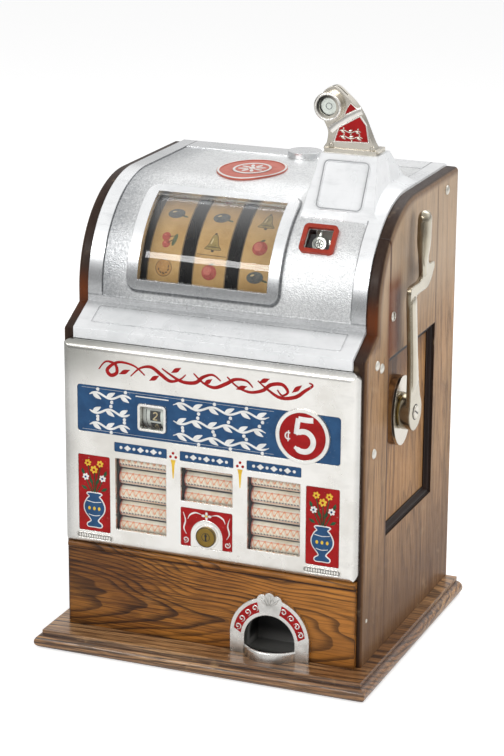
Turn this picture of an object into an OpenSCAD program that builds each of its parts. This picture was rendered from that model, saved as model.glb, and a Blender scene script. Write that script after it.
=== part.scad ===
// Three-reel counter machine that vends mint rolls: oak cabinet, cast aluminium fronts, side handle.
// Millimetres. +X is the handle side, -Y the front and +Z up; the origin is the middle of the underside.

/* [Cabinet] */
// Width over the side boards
cab_w = 380; // [370:1:400]
// Depth of the side boards
cab_d = 321; // [315:1:335]
// Height of the straight front edge of the side boards
front_h = 372.5; // [368:0.5:380]
// Thickness of the side boards
board_t = 15; // [13:0.5:18]
// Rounding of the side boards' outer edges
edge_r = 5; // [3:0.5:6]
// Rise of the sloped shoulder
shoulder_rise = 22; // [18:1:26]
// Depth of the sloped shoulder
shoulder_run = 40.5; // [37:0.5:44]
// Upright height between the shoulder and the curve
crown_drop = 14; // [10:1:18]
// Radius of the curved top of the side boards
crown_r = 125; // [123:1:130]

/* [Base board] */
// Overhang of the base beside the cabinet
base_side = 22.5; // [18:0.5:30]
// Overhang of the base before the cabinet
base_front = 49; // [40:1:60]
// Thickness of the base
base_h = 22; // [18:1:28]
// Height of the flat step above the rounded nose
base_step = 6; // [3:0.5:8]

/* [Side panels] */
// Width of the front stile
front_stile_w = 79; // [72:1:86]
// Width of the rear stile
rear_stile_w = 75.5; // [68:0.5:84]
// Height of the bottom rail
bottom_rail_h = 138; // [120:1:150]
// Height of the panel opening
panel_h = 218.5; // [205:0.5:230]
// Depth of the panel below the stiles
panel_recess = 8; // [5:0.5:9]
// Thickness of the panel
panel_t = 5; // [4:0.5:6]

/* [Back] */
// Thickness of the back door and rails
door_t = 14; // [10:1:16]
// Depth of the door behind the edge of the boards
door_inset = 7; // [6:0.5:9]
// Height of the lower back rail
back_sill_h = 40; // [30:1:60]
// Height of the upper back rail
back_head_h = 75; // [60:1:80]
// Gap round the back door
door_gap = 1.5; // [1:0.25:3]
// Distance of the hinge line from the side board
hinge_in = 5; // [4.5:0.5:7]

/* [Apron and payout cup] */
// Height of the wooden apron
apron_h = 108; // [104:1:112]
// Distance that the apron stands before the boards
apron_proud = 6; // [4:0.5:8]
// Lap of the apron over each board edge
apron_lap = 9; // [6:0.5:11]
// Radius of the bead along the top of the apron
bead_r = 4.5; // [3:0.5:6]
// Middle of the payout cup, right of the machine's middle
cup_x = 79.5; // [60:0.5:90]
// Width of the arched cup plate
cup_w = 100; // [94:1:106]
// Width of the cup's mouth
cup_mouth_w = 64; // [58:1:68]
// Height of the cup's mouth above the base
cup_mouth_h = 53; // [48:1:56]
// Reach of the bowl's lip before the apron
cup_reach = 24; // [18:1:30]
// Height of the bowl's lip
cup_lip_h = 13; // [10:1:16]
// Wall of the cup
cup_wall = 4; // [3:0.5:5]

/* [Lower casting] */
// Width of the lower casting
plate_w = 372; // [364:1:378]
// Distance that the lower casting stands before the boards
plate_depth = 14; // [12:0.5:17]
// Wall of the castings
cast_wall = 4.5; // [4:0.5:5.5]
// Rounding of the lower casting's edges
plate_round = 10; // [8:0.5:12]
// Gap between the lower casting and its neighbours
plate_gap = 0.5; // [0.3:0.1:1]
// Width of a mint window
mint_w = 66; // [62:1:70]
// Height of the outer mint windows
mint_h = 89.5; // [85:0.5:93]
// Height of the middle mint window
mid_mint_h = 41; // [38:1:44]
// Distance between the mint windows' middles
mint_pitch = 84.5; // [80:0.5:88]
// Height of the mint windows' sills above the casting's lower edge
mint_sill = 25; // [22:0.5:28]
// Height of the plate above each mint window
header_h = 12; // [10:0.5:13]
// Space between a mint window and its plate
header_gap = 8; // [6:0.5:9]
// Width of the coloured band
band_w = 332; // [320:1:340]
// Height of the coloured band
band_h = 58; // [54:1:62]
// Height of the band above the casting's lower edge
band_rise = 143; // [141:0.5:147]
// Depth of the enamelled pockets
pocket = 1; // [0.6:0.1:1.5]
// Radius of the round boss on the band
roundel_r = 33; // [29:0.5:35]
// Middle of the round boss, right of the machine's middle
roundel_x = 120; // [112:1:126]
// Width of the side pockets
side_pocket_w = 41.5; // [36:0.5:44]
// Height of the side pockets
side_pocket_h = 96; // [88:1:100]
// Inner width of the indicator window
pane_w = 30; // [26:0.5:34]
// Middle of the indicator window, left of the machine's middle
pane_x = 69; // [60:0.5:80]

/* [Mints] */
// Radius of a mint roll
roll_r = 10; // [9:0.25:10.5]
// Depth of the rolls' floor below a window's sill
roll_drop = 8; // [6:0.5:9]
// Length of a mint roll
roll_l = 65; // [60:1:68]
// Gap between stacked rolls
roll_gap = 0.3; // [0.2:0.1:0.6]
// Thickness of the column sheet
sheet_t = 1.5; // [1:0.25:2]
// Thickness of the glass
glass_t = 2.4; // [2:0.1:3]

/* [Lock] */
// Radius of the front lock
lock_r = 11; // [9:0.5:12]
// Radius of the lock's plug
plug_r = 7; // [6:0.5:8]
// Radial running clearance of shafts and plugs
run_fit = 0.06; // [0.03:0.01:0.09]

/* [Upper casting] */
// Height of the upper casting's skin above the boards
cast_proud = 3; // [2:0.5:4]
// Height of the front lip
lip_h = 13; // [11:0.5:15]
// Distance that the lip stands before the boards
lip_proud = 4; // [3:0.5:6]
// Width of the smooth rim at each side
rim_w = 18; // [15:0.5:22]
// Width of the smooth rim at the back
back_rim = 35; // [30:1:40]
// Depth of the textured field below the rim
field_deep = 1.5; // [1:0.1:1.8]
// Middle of the reel window, left of the machine's middle
reel_x = 28; // [24:1:32]
// Width of the reel window
window_w = 164; // [158:1:170]
// Angle of the reel window's upper edge on the curve
window_a0 = 119.5; // [117:0.5:122]
// Angle of the reel window's lower edge on the curve
window_a1 = 170.5; // [167:0.5:172]
// Width of the raised frame round the reel window
frame_b = 14; // [11:0.5:16]
// Height of the raised frame
frame_rise = 4; // [3:0.5:5]
// Distance of the coin window's middle from the tower's middle
coin_win_in = 13; // [10:0.5:16]
// Width of the coin window
coin_win_w = 32; // [28:0.5:34]
// Angle of the coin window's upper edge
coin_a0 = 133; // [131:0.5:135]
// Angle of the coin window's lower edge
coin_a1 = 145; // [143:0.5:147]
// Width of the coin window's bezel
bezel_b = 5; // [4:0.5:6]
// Width of the badge
badge_w = 82; // [76:1:90]
// Length of the badge from front to back
badge_d = 106; // [96:1:112]
// Radius of the round boss at the back of the top
boss_r = 21; // [18:0.5:23]

/* [Coin tower] */
// Distance of the tower's middle from the right side of the cabinet
tower_in = 72; // [70:0.5:75]
// Width of the tower's foot
tower_foot_w = 90; // [86:1:94]
// Width of the tower's top
tower_top_w = 70; // [66:1:74]
// Height of the tower above the top
tower_h = 43.5; // [38:0.5:50]
// Depth of the tower's top
tower_d = 41; // [38:1:46]
// Angle of the tower's foot on the curve
tower_a = 126; // [124:0.5:128]

/* [Coin head] */
// Width of the head's base plate
head_w = 60; // [56:1:64]
// Thickness of the head's base plate
head_plate = 5; // [4:0.5:6]
// Height of the coin ring's middle above the tower
ring_h = 54; // [50:1:58]
// Outer radius of the coin ring
ring_r = 17; // [15.5:0.5:18]
// Radius of the coin
coin_r = 10.6; // [9:0.1:11]
// Thickness of the coin
coin_t = 1.95; // [1.4:0.05:2.2]
// Thickness of the head's body
head_t = 13; // [11:0.5:16]

/* [Handle] */
// Distance of the handle's pivot behind the middle of the base, negative towards the front
pivot_y = -15.5; // [-19:0.5:-12]
// Height of the handle's pivot
pivot_z = 304; // [296:1:312]
// Radius of the handle shaft
shaft_r = 8; // [7:0.25:9]
// Height of the oval handle plate
plate_oval_h = 85; // [78:1:90]
// Width of the oval handle plate
plate_oval_w = 62; // [56:1:66]
// Length of the handle's flat arm up to the jog
arm_l = 150; // [144:1:156]
// Width of the arm
arm_w = 21; // [18:0.5:24]
// Thickness of the arm
arm_t = 5.5; // [5:0.5:8]
// Lean of the arm towards the front in degrees
arm_lean = 6.6; // [5:0.2:9]
// Length of the grip above the jog
grip_l = 88; // [80:1:94]
// Width of the grip
grip_w = 20; // [17:0.5:23]
// Distance that the jog sets the grip back
jog_back = 46; // [42:1:50]

/* [Reels] */
// Radius over the reel strips
reel_r = 112; // [108:0.5:113]
// Width of a reel
reel_w = 42; // [38:1:44]
// Distance between the reels' middles
reel_pitch = 58; // [54:0.5:60]
// Thickness of a paper strip
strip_t = 0.4; // [0.3:0.05:0.6]
// Radius of the reel shaft
reel_shaft_r = 6; // [5:0.25:7]

/* [Mechanism] */
// Thickness of the mechanism's side frames
frame_t = 4; // [3:0.5:5]
// Height of the mechanism's table above the base
table_h = 98; // [94:1:104]
// Width of the cash box
cash_w = 150; // [120:1:180]
// Depth of the cash box
cash_d = 130; // [110:1:140]
// Height of the cash box
cash_h = 70; // [50:1:80]

/* [Hidden] */
$fn = 96;
eps = 0.5;

// Main places of the cabinet
base_w = cab_w + 2 * base_side;
base_d = cab_d + base_front;
nose_r = (base_h - base_step) / 2;
y_front = -base_d / 2 + base_front;
y_back = base_d / 2;
in_x = cab_w / 2 - board_t;
z_edge = base_h + front_h;
y_wall = y_front + shoulder_run;
z_wall = z_edge + shoulder_rise;
crown_y = y_wall + crown_r;
crown_z = z_wall + crown_drop;
crown_top = crown_z + crown_r;
shoulder_a = atan2(shoulder_rise, shoulder_run);
panel_z0 = base_h + bottom_rail_h;
panel_z1 = panel_z0 + panel_h;
panel_y0 = y_front + front_stile_w;
panel_y1 = y_back - rear_stile_w;
panel_x = cab_w / 2 - panel_recess;

// Back door and its hinges
door_y1 = y_back - door_inset;
door_y0 = door_y1 - door_t;
head_z0 = crown_top - back_head_h;
door_z0 = base_h + back_sill_h + door_gap;
door_z1 = head_z0 - door_gap;
door_hw = in_x - door_gap;
hinge_x = -(in_x - hinge_in);
hinge_y = y_back - door_inset / 2;
knuckle_r = door_inset / 2 - 0.3;
hinge_h = 60;
hinge_gap = 0.4;
leaf_t = 1.2;
leaf_w = 28;
pin_r = 1.5;
hinge_zs = [door_z0 + 40, door_z1 - 40 - hinge_h];
latch_r = 4;
latch_x = 0;
latch_z = door_z1 - 18;
tongue_l = 34;

// Apron and cup
y_apron = y_front - apron_proud;
apron_back = 12;
apron_z1 = base_h + apron_h;
cup_floor = 3;
cup_fit = 0.3;
cup_tunnel = 40;
cup_half = cup_mouth_w / 2 + cup_wall;
cup_plate_t = 6;
lip_w = cup_wall + 2;
lip_r = (cup_half * cup_half + cup_reach * cup_reach) / (2 * cup_reach);
crest_r = 6.5;
crest_z = cup_w * 0.75;

// Castings
skin_r = crown_r + cast_proud;
skin_top = crown_z + skin_r;
inner_r = skin_r - cast_wall;
field_r = skin_r - field_deep;
frame_span = 2 * skin_r * sin((window_a1 - window_a0) / 2 + frame_b / skin_r * 180 / PI);
cast_fit = 0.2;
cast_hw = in_x - cast_fit;
lip_z1 = z_edge + cast_proud;
lip_z0 = lip_z1 - lip_h;
y_lip = y_front - lip_proud;
y_skin = y_wall - cast_proud;
z_ledge = z_wall + cast_proud;
plate_z0 = apron_z1 + plate_gap;
plate_z1 = lip_z0 - plate_gap;
plate_h = plate_z1 - plate_z0;
y_face = y_front - plate_depth;
y_inner = y_face + cast_wall;
sill_z = plate_z0 + mint_sill;
mint_z1 = sill_z + mint_h;
mid_sill_z = mint_z1 - mid_mint_h;
header_z = mint_z1 + header_gap;
band_z = plate_z0 + band_rise;
band_mid = band_z + band_h / 2;
side_pocket_x = mint_pitch + mint_w / 2 + 7 + side_pocket_w / 2;
side_pocket_z = sill_z - 7;
lock_z = sill_z + 7.5;
block_h = 48;
block_z = lock_z - 15;
pane_h = pane_w - 3;
pane_z = band_mid - 2;
pane_frame = 3;
pane_lap = 3;
drum_lap = 1;

// Mint windows, from left to right: middle and sill of each, and the columns of rolls behind them
openings = [[-mint_pitch, sill_z], [0, mid_sill_z], [mint_pitch, sill_z]];
columns = [for (o = openings) [o[0], o[1] - roll_drop]];
roll_y0 = y_inner + glass_t;
roll_y = roll_y0 + roll_gap + roll_r;
col_y1 = roll_y + roll_r + roll_gap;
col_hw = roll_l / 2 + 0.5;
col_z1 = header_z + header_h;
shelf_t = 2;
shelf_back = col_y1 + sheet_t + 1.5;
foot_w = 4;
col_fit = 0.3;

// Indicator drum
drum_r = 20;
drum_w = pane_w + 2;
drum_pin_r = 2.5;
drum_y = roll_y0 + 1.6 + drum_r;
ear_t = 2;
ear_gap = 0.5;

// Tower and head
tower_x = cab_w / 2 - tower_in;
coin_win_x = tower_x - coin_win_in;
coin_win_h = skin_r * (coin_a1 - coin_a0) * PI / 180;
bezel_rise = 2.5;
bezel_deep = 9;
tower_run = 40;
tower_back_run = 45;
// Skirt that runs from the tower's right side out to the edge of the casting
flare_run = cast_hw - tower_x - tower_top_w / 2;
flare_rise = 0.75 * flare_run;
flare_seat = 1;
flare_edge = 0.3;
y_foot = crown_y + skin_r * cos(tower_a);
z_foot = crown_z + skin_r * sin(tower_a);
y_pad = y_foot + tower_run;
z_pad = skin_top + tower_h;
slope_a = atan2(z_pad - z_foot, tower_run);
slope_l = norm([tower_run, z_pad - z_foot]);
head_x = tower_x - 1;
head_y = y_pad + 5;
head_d = 32;
head_body_y = head_y + 4;
ring_x = -27;
ring_y = head_y - 4;
coin_deep = 7;
lens_t = 1.5;
coin_fit = 0.1;

// Badge on the top
badge_x = -31;
badge_y = crown_y + 33;
badge_t = 2;
boss_h = 6;

// Mechanism
table_z = base_h + table_h;
table_t = 4;
table_top = table_z + table_t;
table_hw = in_x - 3;
table_fore = 41;
table_aft = 14;
table_y0 = y_front + table_fore;
table_y1 = door_y0 - table_aft;
frame_gap = 5;
frame_x0 = -reel_x - reel_pitch - reel_w / 2 - frame_gap;
frame_x1 = -reel_x + reel_pitch + reel_w / 2 + frame_gap;
frame_fore = 32;
frame_aft = 100;
frame_rise_z = 32;
frame_y0 = pivot_y - frame_fore;
frame_y1 = crown_y + frame_aft;
frame_z1 = crown_z + frame_rise_z;
neck_z = pivot_z + 40;
neck_fore = 70;
neck_aft = 40;
slot_w = 66;
slot_h = 50;
slot_round = 20;
slot_back = 20;
slot_rise = 78;
seat_fit = 0.02;
rod_r = 5;
rod_in = 14;
rod_low = 26;
rod_high = 130;
rods = [[frame_y0 + rod_in, table_top + rod_low], [frame_y1 - rod_in, table_top + rod_low],
  [frame_y0 + rod_in, table_top + rod_high]];
stop_back = 75;
stop_drop = 145;
stop_gap = 3;
stop_y = crown_y + stop_back;
stop_z = crown_z - stop_drop;
stop_reach = norm([stop_back, stop_drop]) - reel_r - stop_gap;
stop_a = atan2(stop_drop, -stop_back);
fan_back = 60;
fan_drop = 100;
fan_y = crown_y + fan_back;
fan_z = crown_z - fan_drop;
fan_r = 40;
fan_pin_r = 3;
fan_pin_l = 16;
reel_rim = 3;
reel_hub_r = 14;
reel_web = 4;
rim_r = reel_r - strip_t - seat_fit;
tube_x = -70;
tube_in = 42;
slide_in = 6;
tube_l = 160;
slides = 5;
slide_t = 2.5;
chute_w = 26;
chute_d = 14;
chute_wall = 2;
chute_foot = 6;
chute_bracket_h = 40;
chute_bracket_d = 14;
chute_fore = 71;
chute_rise = 90;
chute_h = 140;
chute_y = crown_y - chute_fore;
chute_z1 = crown_z + chute_rise;
chute_z0 = chute_z1 - chute_h;

// Handle
run_gap = 0.5;
bush_r = shaft_r + 5;
bush_flange_r = shaft_r + 10;
plate_oval_t = 12;
oval_x1 = panel_x + plate_oval_t;
flange_t = 1.5;
hub_x0 = oval_x1 + flange_t + run_gap;
hub_t = 13.5;
hub_x1 = hub_x0 + hub_t;
hub_r = 22;
hub_screw_r = 4.5;
hub_screw_deep = 2;
arm_end = arm_l * [-sin(arm_lean), cos(arm_lean)];
grip_foot = arm_end + [jog_back, 0];
grip_bow = 5;
grip_swell = 1;
jog_t = 11;
hook_l = 29;
crank_gap = 84;
crank_x = frame_x1 + crank_gap;
crank_t = 10;
crank_l = 52;
crank_wall = 7;
crank_hw = 8;
crank_pin_r = 4;
crank_pin_l = 12;
spring_r = shaft_r + 4.5;
wire_r = 1.5;
spring_turns = 8;
spring_l = 36;

// Colours
oak = "#6b4a2b";
silver = "#d4d5d6";
steel = "#a8a59e";
red = "#b01818";

// Smooth closed outline through the given corners
function between(a, b, c, d, t) =
  (2 * b + (c - a) * t + (2 * a - 5 * b + 4 * c - d) * t * t + (3 * b - a - 3 * c + d) * t * t * t) / 2;
function curve(p, steps) = [for (i = [0:len(p) - 1], k = [0:steps - 1]) let (n = len(p))
  between(p[(i + n - 1) % n], p[i], p[(i + 1) % n], p[(i + 2) % n], k / steps)];

// Shapes that the pieces share
module along_x(x0, x1) {
  translate([x0, 0, 0]) rotate([90, 0, 90]) linear_extrude(x1 - x0) children();
}
module along_y(y0, y1) {
  translate([0, y1, 0]) rotate([90, 0, 0]) linear_extrude(y1 - y0) children();
}
module box(x0, x1, y0, y1, z0, z1) {
  translate([x0, y0, z0]) cube([x1 - x0, y1 - y0, z1 - z0]);
}
module rod_x(x0, x1, y, z, r) {
  translate([x0, y, z]) rotate([0, 90, 0]) cylinder(r = r, h = x1 - x0);
}
module rod_y(x, y0, y1, z, r) {
  translate([x, y0, z]) rotate([-90, 0, 0]) cylinder(r = r, h = y1 - y0);
}
module rounded(w, h, r) {
  steps = 6;
  polygon([for (q = [0:3], i = [0:steps])
    let (a = 90 * (q + i / steps), sx = q == 0 || q == 3 ? 1 : -1, sy = q < 2 ? 1 : -1)
    [sx * (w / 2 - r) + r * cos(a), sy * (h / 2 - r) + r * sin(a)]]);
}
// Flat outline whose edge at v = 0 has both corners rounded
module nosed(w, d, r) {
  translate([-w / 2, r]) square([w, d - r]);
  translate([-w / 2 + r, 0]) square([w - 2 * r, d]);
  for (s = [-1, 1]) translate([s * (w / 2 - r), r]) circle(r = r);
}
// Arch as one outline, standing on v = 0
module arch(w, h) {
  r = w / 2;
  steps = 48;
  polygon([[-r, 0], [r, 0], for (i = [0:steps]) let (a = 180 * i / steps) [r * cos(a),
    h - r + r * sin(a)]]);
}
// Ring stretch about the crown's axis, from angle a0 to a1 in the side view
module crown_sector(r0, r1, a0, a1) {
  far = 2 * r1;
  translate([crown_y, crown_z]) intersection() {
    difference() {
      circle(r = r1);
      circle(r = r0);
    }
    polygon([[0, 0], for (a = [a0, (a0 + a1) / 2, a1]) far * [cos(a), sin(a)]]);
  }
}
// Straight prism through the crown, over the raised frame of the reel window
module frame_prism() {
  translate([-reel_x, crown_y, crown_z]) rotate([(window_a0 + window_a1) / 2 - 90, 0, 0])
    translate([0, 0, skin_r / 2]) linear_extrude(skin_r)
      rounded(window_w + 2 * frame_b, frame_span, frame_b * 0.9);
}
// Straight prism through the crown at the coin window, ending just above the skin
module coin_window(corner, w, h, over = 0) {
  translate([coin_win_x, crown_y, crown_z]) rotate([(coin_a0 + coin_a1) / 2 - 90, 0, 0])
    translate([0, 0, inner_r - bezel_deep - over])
      linear_extrude(skin_r - inner_r + bezel_deep + bezel_rise + 2 * over) rounded(w, h, corner);
}
// Solid in the side view of the boards, drawn in by a depth
module board_profile(x0, x1, deep) {
  fall = deep / cos(shoulder_a) - deep * tan(shoulder_a);
  along_x(x0, x1) polygon([[y_front + deep, base_h], [y_front + deep, z_edge - fall],
    [y_wall + deep, z_wall - fall],
    [y_wall + deep, crown_z], [crown_y, crown_top - deep], [y_back, crown_top - deep], [y_back, base_h]]);
  rod_x(x0, x1, crown_y, crown_z, crown_r - deep);
}
// Right side board with its outer edge rounded along the front, the shoulder and the curve
module board_solid() {
  x1 = cab_w / 2;
  xe = x1 - edge_r;
  fall = edge_r / cos(shoulder_a) - edge_r * tan(shoulder_a);
  board_profile(in_x, xe, 0);
  board_profile(in_x, x1, edge_r);
  translate([xe, y_front + edge_r, base_h]) cylinder(r = edge_r, h = front_h - fall);
  translate([xe, y_front + edge_r, z_edge - fall]) {
    sphere(r = edge_r);
    rotate([shoulder_a - 90, 0, 0]) cylinder(r = edge_r, h = norm([shoulder_run, shoulder_rise]) + edge_r);
  }
  translate([xe, y_wall + edge_r, z_wall - fall - edge_r]) cylinder(r = edge_r,
    h = crown_drop + fall + edge_r);
  translate([xe, crown_y, crown_z]) rotate([0, 90, 0]) rotate_extrude()
    translate([crown_r - edge_r, 0]) circle(r = edge_r, $fn = 48);
  rod_y(xe, crown_y, y_back, crown_top - edge_r, edge_r);
}
// Solid in the side view of the upper casting, drawn in by a skin depth
module skin_solid(hw, deep) {
  along_x(-hw, hw) polygon([[y_lip + deep, lip_z0 - eps], [y_lip + deep, lip_z1 - deep / 2],
    [y_skin + deep, z_ledge - deep / 2], [y_skin + deep, crown_z], [crown_y, skin_top - deep],
    [y_back + eps, skin_top - deep], [y_back + eps, lip_z0 - eps]]);
  rod_x(-hw, hw, crown_y, crown_z, skin_r - deep);
}
// A solid with rounded edges at the front and round corners seen from the front
module cast_block(w, y0, y1, z0, z1, r) {
  h = z1 - z0;
  intersection() {
    translate([0, y0, z0]) linear_extrude(h) nosed(w, y1 - y0, r);
    along_x(-w / 2, w / 2) translate([y0, (z0 + z1) / 2]) rotate(-90) nosed(h, y1 - y0, r);
    along_y(y0, y1) translate([0, (z0 + z1) / 2]) rounded(w, h, r);
  }
}
module ring_sleeve(x0, x1, y, z, r1, r0) {
  difference() {
    rod_x(x0, x1, y, z, r1);
    rod_x(x0 - 1, x1 + 1, y, z, r0);
  }
}

// Cabinet
module base_board() {
  slab_h = base_h - base_step;
  color(oak) {
    intersection() {
      along_y(-base_d / 2, base_d / 2) translate([0, nose_r]) {
        square([base_w - 2 * nose_r, slab_h], center = true);
        for (s = [-1, 1]) translate([s * (base_w / 2 - nose_r), 0]) circle(r = nose_r);
      }
      along_x(-base_w / 2, base_w / 2) translate([-base_d / 2 + nose_r, 0]) {
        square([base_d - nose_r, slab_h]);
        translate([0, nose_r]) circle(r = nose_r);
      }
    }
    box(-base_w / 2 + nose_r, base_w / 2 - nose_r, -base_d / 2 + nose_r, y_back, slab_h, base_h);
  }
}
module side_member(side, y0, y1, z0, z1) {
  color(oak) mirror([side > 0 ? 0 : 1, 0, 0]) intersection() {
    board_solid();
    box(0, cab_w, y0, y1, z0, z1);
  }
}
module front_stile(side) {
  side_member(side, y_front, panel_y0, base_h, crown_top);
}
module rear_stile(side) {
  side_member(side, panel_y1, y_back, base_h, crown_top);
}
module top_rail(side) {
  side_member(side, panel_y0, panel_y1, panel_z1, crown_top);
}
module bottom_rail(side) {
  side_member(side, panel_y0, panel_y1, base_h, panel_z0);
}
module side_panel(side) {
  x0 = side > 0 ? panel_x - panel_t : -panel_x;
  color(oak) box(x0, x0 + panel_t, panel_y0, panel_y1, panel_z0, panel_z1);
}
module right_front_stile() { front_stile(1); }
module right_rear_stile() { rear_stile(1); }
module right_top_rail() { top_rail(1); }
module right_bottom_rail() { bottom_rail(1); }
module right_panel() {
  difference() {
    side_panel(1);
    rod_x(panel_x - panel_t - 1, panel_x + 1, pivot_y, pivot_z, bush_r + coin_fit);
  }
}
module left_front_stile() { front_stile(-1); }
module left_rear_stile() { rear_stile(-1); }
module left_top_rail() { top_rail(-1); }
module left_bottom_rail() { bottom_rail(-1); }
module left_panel() { side_panel(-1); }
module front_apron() {
  apron_hw = in_x + apron_lap;
  color("#7a4f28") difference() {
    union() {
      box(-apron_hw, apron_hw, y_apron, y_front, base_h, apron_z1);
      box(-in_x, in_x, y_front, y_front + apron_back, base_h, apron_z1);
      rod_x(-apron_hw, apron_hw, y_apron + bead_r / 3, apron_z1 - bead_r, bead_r);
    }
    along_y(y_apron - 1, y_front + apron_back + 1) translate([cup_x, base_h - 1])
      arch(2 * (cup_half + cup_fit), cup_mouth_h + cup_wall + cup_fit + 1);
  }
}
module back_sill() {
  color(oak) box(-in_x, in_x, door_y0, door_y1, base_h, base_h + back_sill_h);
}
module back_head() {
  color(oak) box(-in_x, in_x, door_y0, door_y1, head_z0, skin_top - cast_wall);
}

// Back door on two butt hinges, with a turn latch under the upper rail
module back_door() {
  color("#5f4228") difference() {
    box(-door_hw, door_hw, door_y0, door_y1, door_z0, door_z1);
    rod_y(latch_x, door_y0 - 1, door_y1 + 1, latch_z, latch_r + run_fit);
  }
}
module hinge_leaves() {
  third = hinge_h / 3;
  color("#b08d4a") for (z = hinge_zs) {
    box(-in_x, -in_x + leaf_t, door_y0, hinge_y, z, z + hinge_h);
    for (k = [0, 2]) translate([0, 0, z + k * third + (k == 0 ? 0 : hinge_gap)]) {
      box(-in_x, hinge_x, hinge_y - leaf_t / 2, hinge_y + leaf_t / 2, 0, third - hinge_gap);
      translate([hinge_x, hinge_y, 0]) cylinder(r = knuckle_r, h = third - hinge_gap);
    }
    translate([hinge_x, hinge_y, z]) cylinder(r = pin_r, h = hinge_h);
  }
}
module door_leaves() {
  third = hinge_h / 3;
  color("#b08d4a") for (z = hinge_zs) difference() {
    union() {
      box(hinge_x, hinge_x + leaf_w, door_y1, door_y1 + leaf_t, z + third, z + 2 * third);
      translate([hinge_x, hinge_y, z + third]) cylinder(r = knuckle_r, h = third);
    }
    translate([hinge_x, hinge_y, z]) cylinder(r = pin_r + run_fit, h = hinge_h);
  }
}
module door_latch() {
  knob_r = 11;
  knob_t = 4;
  tongue_w = 12;
  color("#b08d4a") {
    rod_y(latch_x, door_y0 - 4, door_y1 + 1, latch_z, latch_r);
    rod_y(latch_x, door_y1 + 0.3, door_y1 + 0.3 + knob_t, latch_z, knob_r);
    box(latch_x - knob_r, latch_x + knob_r, door_y1 + knob_t, door_y1 + 6.5, latch_z - 2, latch_z + 2);
    along_y(door_y0 - 4, door_y0 - 0.5) translate([latch_x, latch_z]) {
      circle(d = tongue_w);
      translate([0, -tongue_w / 2]) square([tongue_l, tongue_w]);
    }
  }
}

// Upper casting: lip, ledge, curved skin, window frame, tower and boss
module tower_solid(deep) {
  hw0 = tower_foot_w / 2 - deep;
  hw1 = tower_top_w / 2 - deep;
  drop = 30;
  intersection() {
    along_x(-in_x, in_x) polygon([[y_foot + 1.2 * deep, z_foot], [y_pad + 1.2 * deep, z_pad - deep],
      [y_pad + tower_d - deep, z_pad - deep], [y_pad + tower_d + tower_back_run - deep, skin_top],
      [y_pad + tower_d + tower_back_run - deep, skin_top - drop], [y_foot + 1.2 * deep, z_foot - drop]]);
    along_y(y_foot - 1, y_back) polygon([[tower_x - hw0, z_foot - drop], [tower_x - hw0, z_foot],
      [tower_x - hw1, z_pad], [tower_x + hw1, z_pad], [tower_x + hw0, z_foot], [tower_x + hw0,
        z_foot - drop]]);
  }
}
module tower_side() {
  polygon([[y_foot, z_foot], [y_pad, z_pad], [y_pad + tower_d, z_pad],
    [y_pad + tower_d + tower_back_run, skin_top], [y_pad + tower_d + tower_back_run, z_foot]]);
}
module flare_section() {
  difference() {
    square([flare_run, flare_rise + flare_seat]);
    translate([flare_run, flare_run + flare_seat + flare_edge]) circle(r = flare_run);
  }
}
module tower_flare() {
  x1 = cast_hw - flare_run;
  intersection() {
    union() {
      translate([x1, crown_y, crown_z]) rotate([0, 90, 0]) rotate([0, 0, 180])
        rotate_extrude(angle = tower_a - 90) translate([skin_r - flare_seat, 0])
          mirror([1, -1]) flare_section();
      along_y(crown_y, y_pad + tower_d + tower_back_run) translate([x1, skin_top - flare_seat])
        flare_section();
    }
    along_x(x1 - 1, cast_hw + 1) tower_side();
  }
}
module tower_frame() {
  translate([tower_x, y_foot, z_foot]) rotate([slope_a, 0, 0]) translate([0, slope_l * 0.52, -1])
    linear_extrude(2.5) difference() {
      rounded(tower_top_w - 12, slope_l * 0.78, 7);
      rounded(tower_top_w - 18, slope_l * 0.78 - 6, 5);
    }
}
module upper_casting() {
  field_hw = cast_hw - rim_w;
  ledge_a = atan2(z_ledge - lip_z1, y_skin - y_lip);
  ledge_l = norm([z_ledge - lip_z1, y_skin - y_lip]);
  color(silver) difference() {
    union() {
      intersection() {
        difference() {
          skin_solid(cast_hw, 0);
          skin_solid(cab_w, cast_wall);
        }
        box(-cab_w, cab_w, y_lip, y_back, lip_z0, skin_top);
      }
      intersection() {
        frame_prism();
        ring_sleeve(-in_x, in_x, crown_y, crown_z, skin_r + frame_rise, inner_r + 1);
      }
      difference() {
        tower_solid(0);
        skin_solid(cab_w, cast_wall);
      }
      tower_flare();
      tower_frame();
      translate([0, y_back - back_rim * 0.75, skin_top - 1]) cylinder(r = boss_r, h = boss_h + 1);
    }
    difference() {
      intersection() {
        difference() {
          skin_solid(field_hw, -1);
          skin_solid(cab_w, field_deep);
        }
        box(-cab_w, cab_w, y_skin - 2, y_back - back_rim, z_ledge + 8, skin_top + 9);
      }
      frame_prism();
      tower_solid(0);
      tower_flare();
      translate([0, y_back - back_rim * 0.75, skin_top - 9]) cylinder(r = boss_r, h = 20);
    }
    along_x(-reel_x - window_w / 2, -reel_x + window_w / 2)
      crown_sector(inner_r - 9, skin_r + 9, window_a0, window_a1);
    coin_window(2 * bezel_b / 5, coin_win_w, coin_win_h);
    translate([0, y_lip, lip_z1]) rotate([ledge_a, 0, 0]) translate([0, ledge_l * 0.56, -pocket])
      linear_extrude(9) difference() {
        rounded(2 * field_hw, ledge_l * 0.62, 3);
        rounded(2 * field_hw - 3, ledge_l * 0.62 - 3, 2);
      }
    intersection() {
      tower_solid(cast_wall);
      box(-cab_w, cab_w, y_foot, y_back, z_foot - 20, z_pad + 9);
    }
  }
}
module reel_glass() {
  r1 = inner_r - coin_fit;
  color("#c8d8dc", 0.35) along_x(-reel_x - window_w / 2 - 6, -reel_x + window_w / 2 + 6)
    crown_sector(r1 - glass_t, r1, window_a0 - 3, window_a1 + 3);
}
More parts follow.
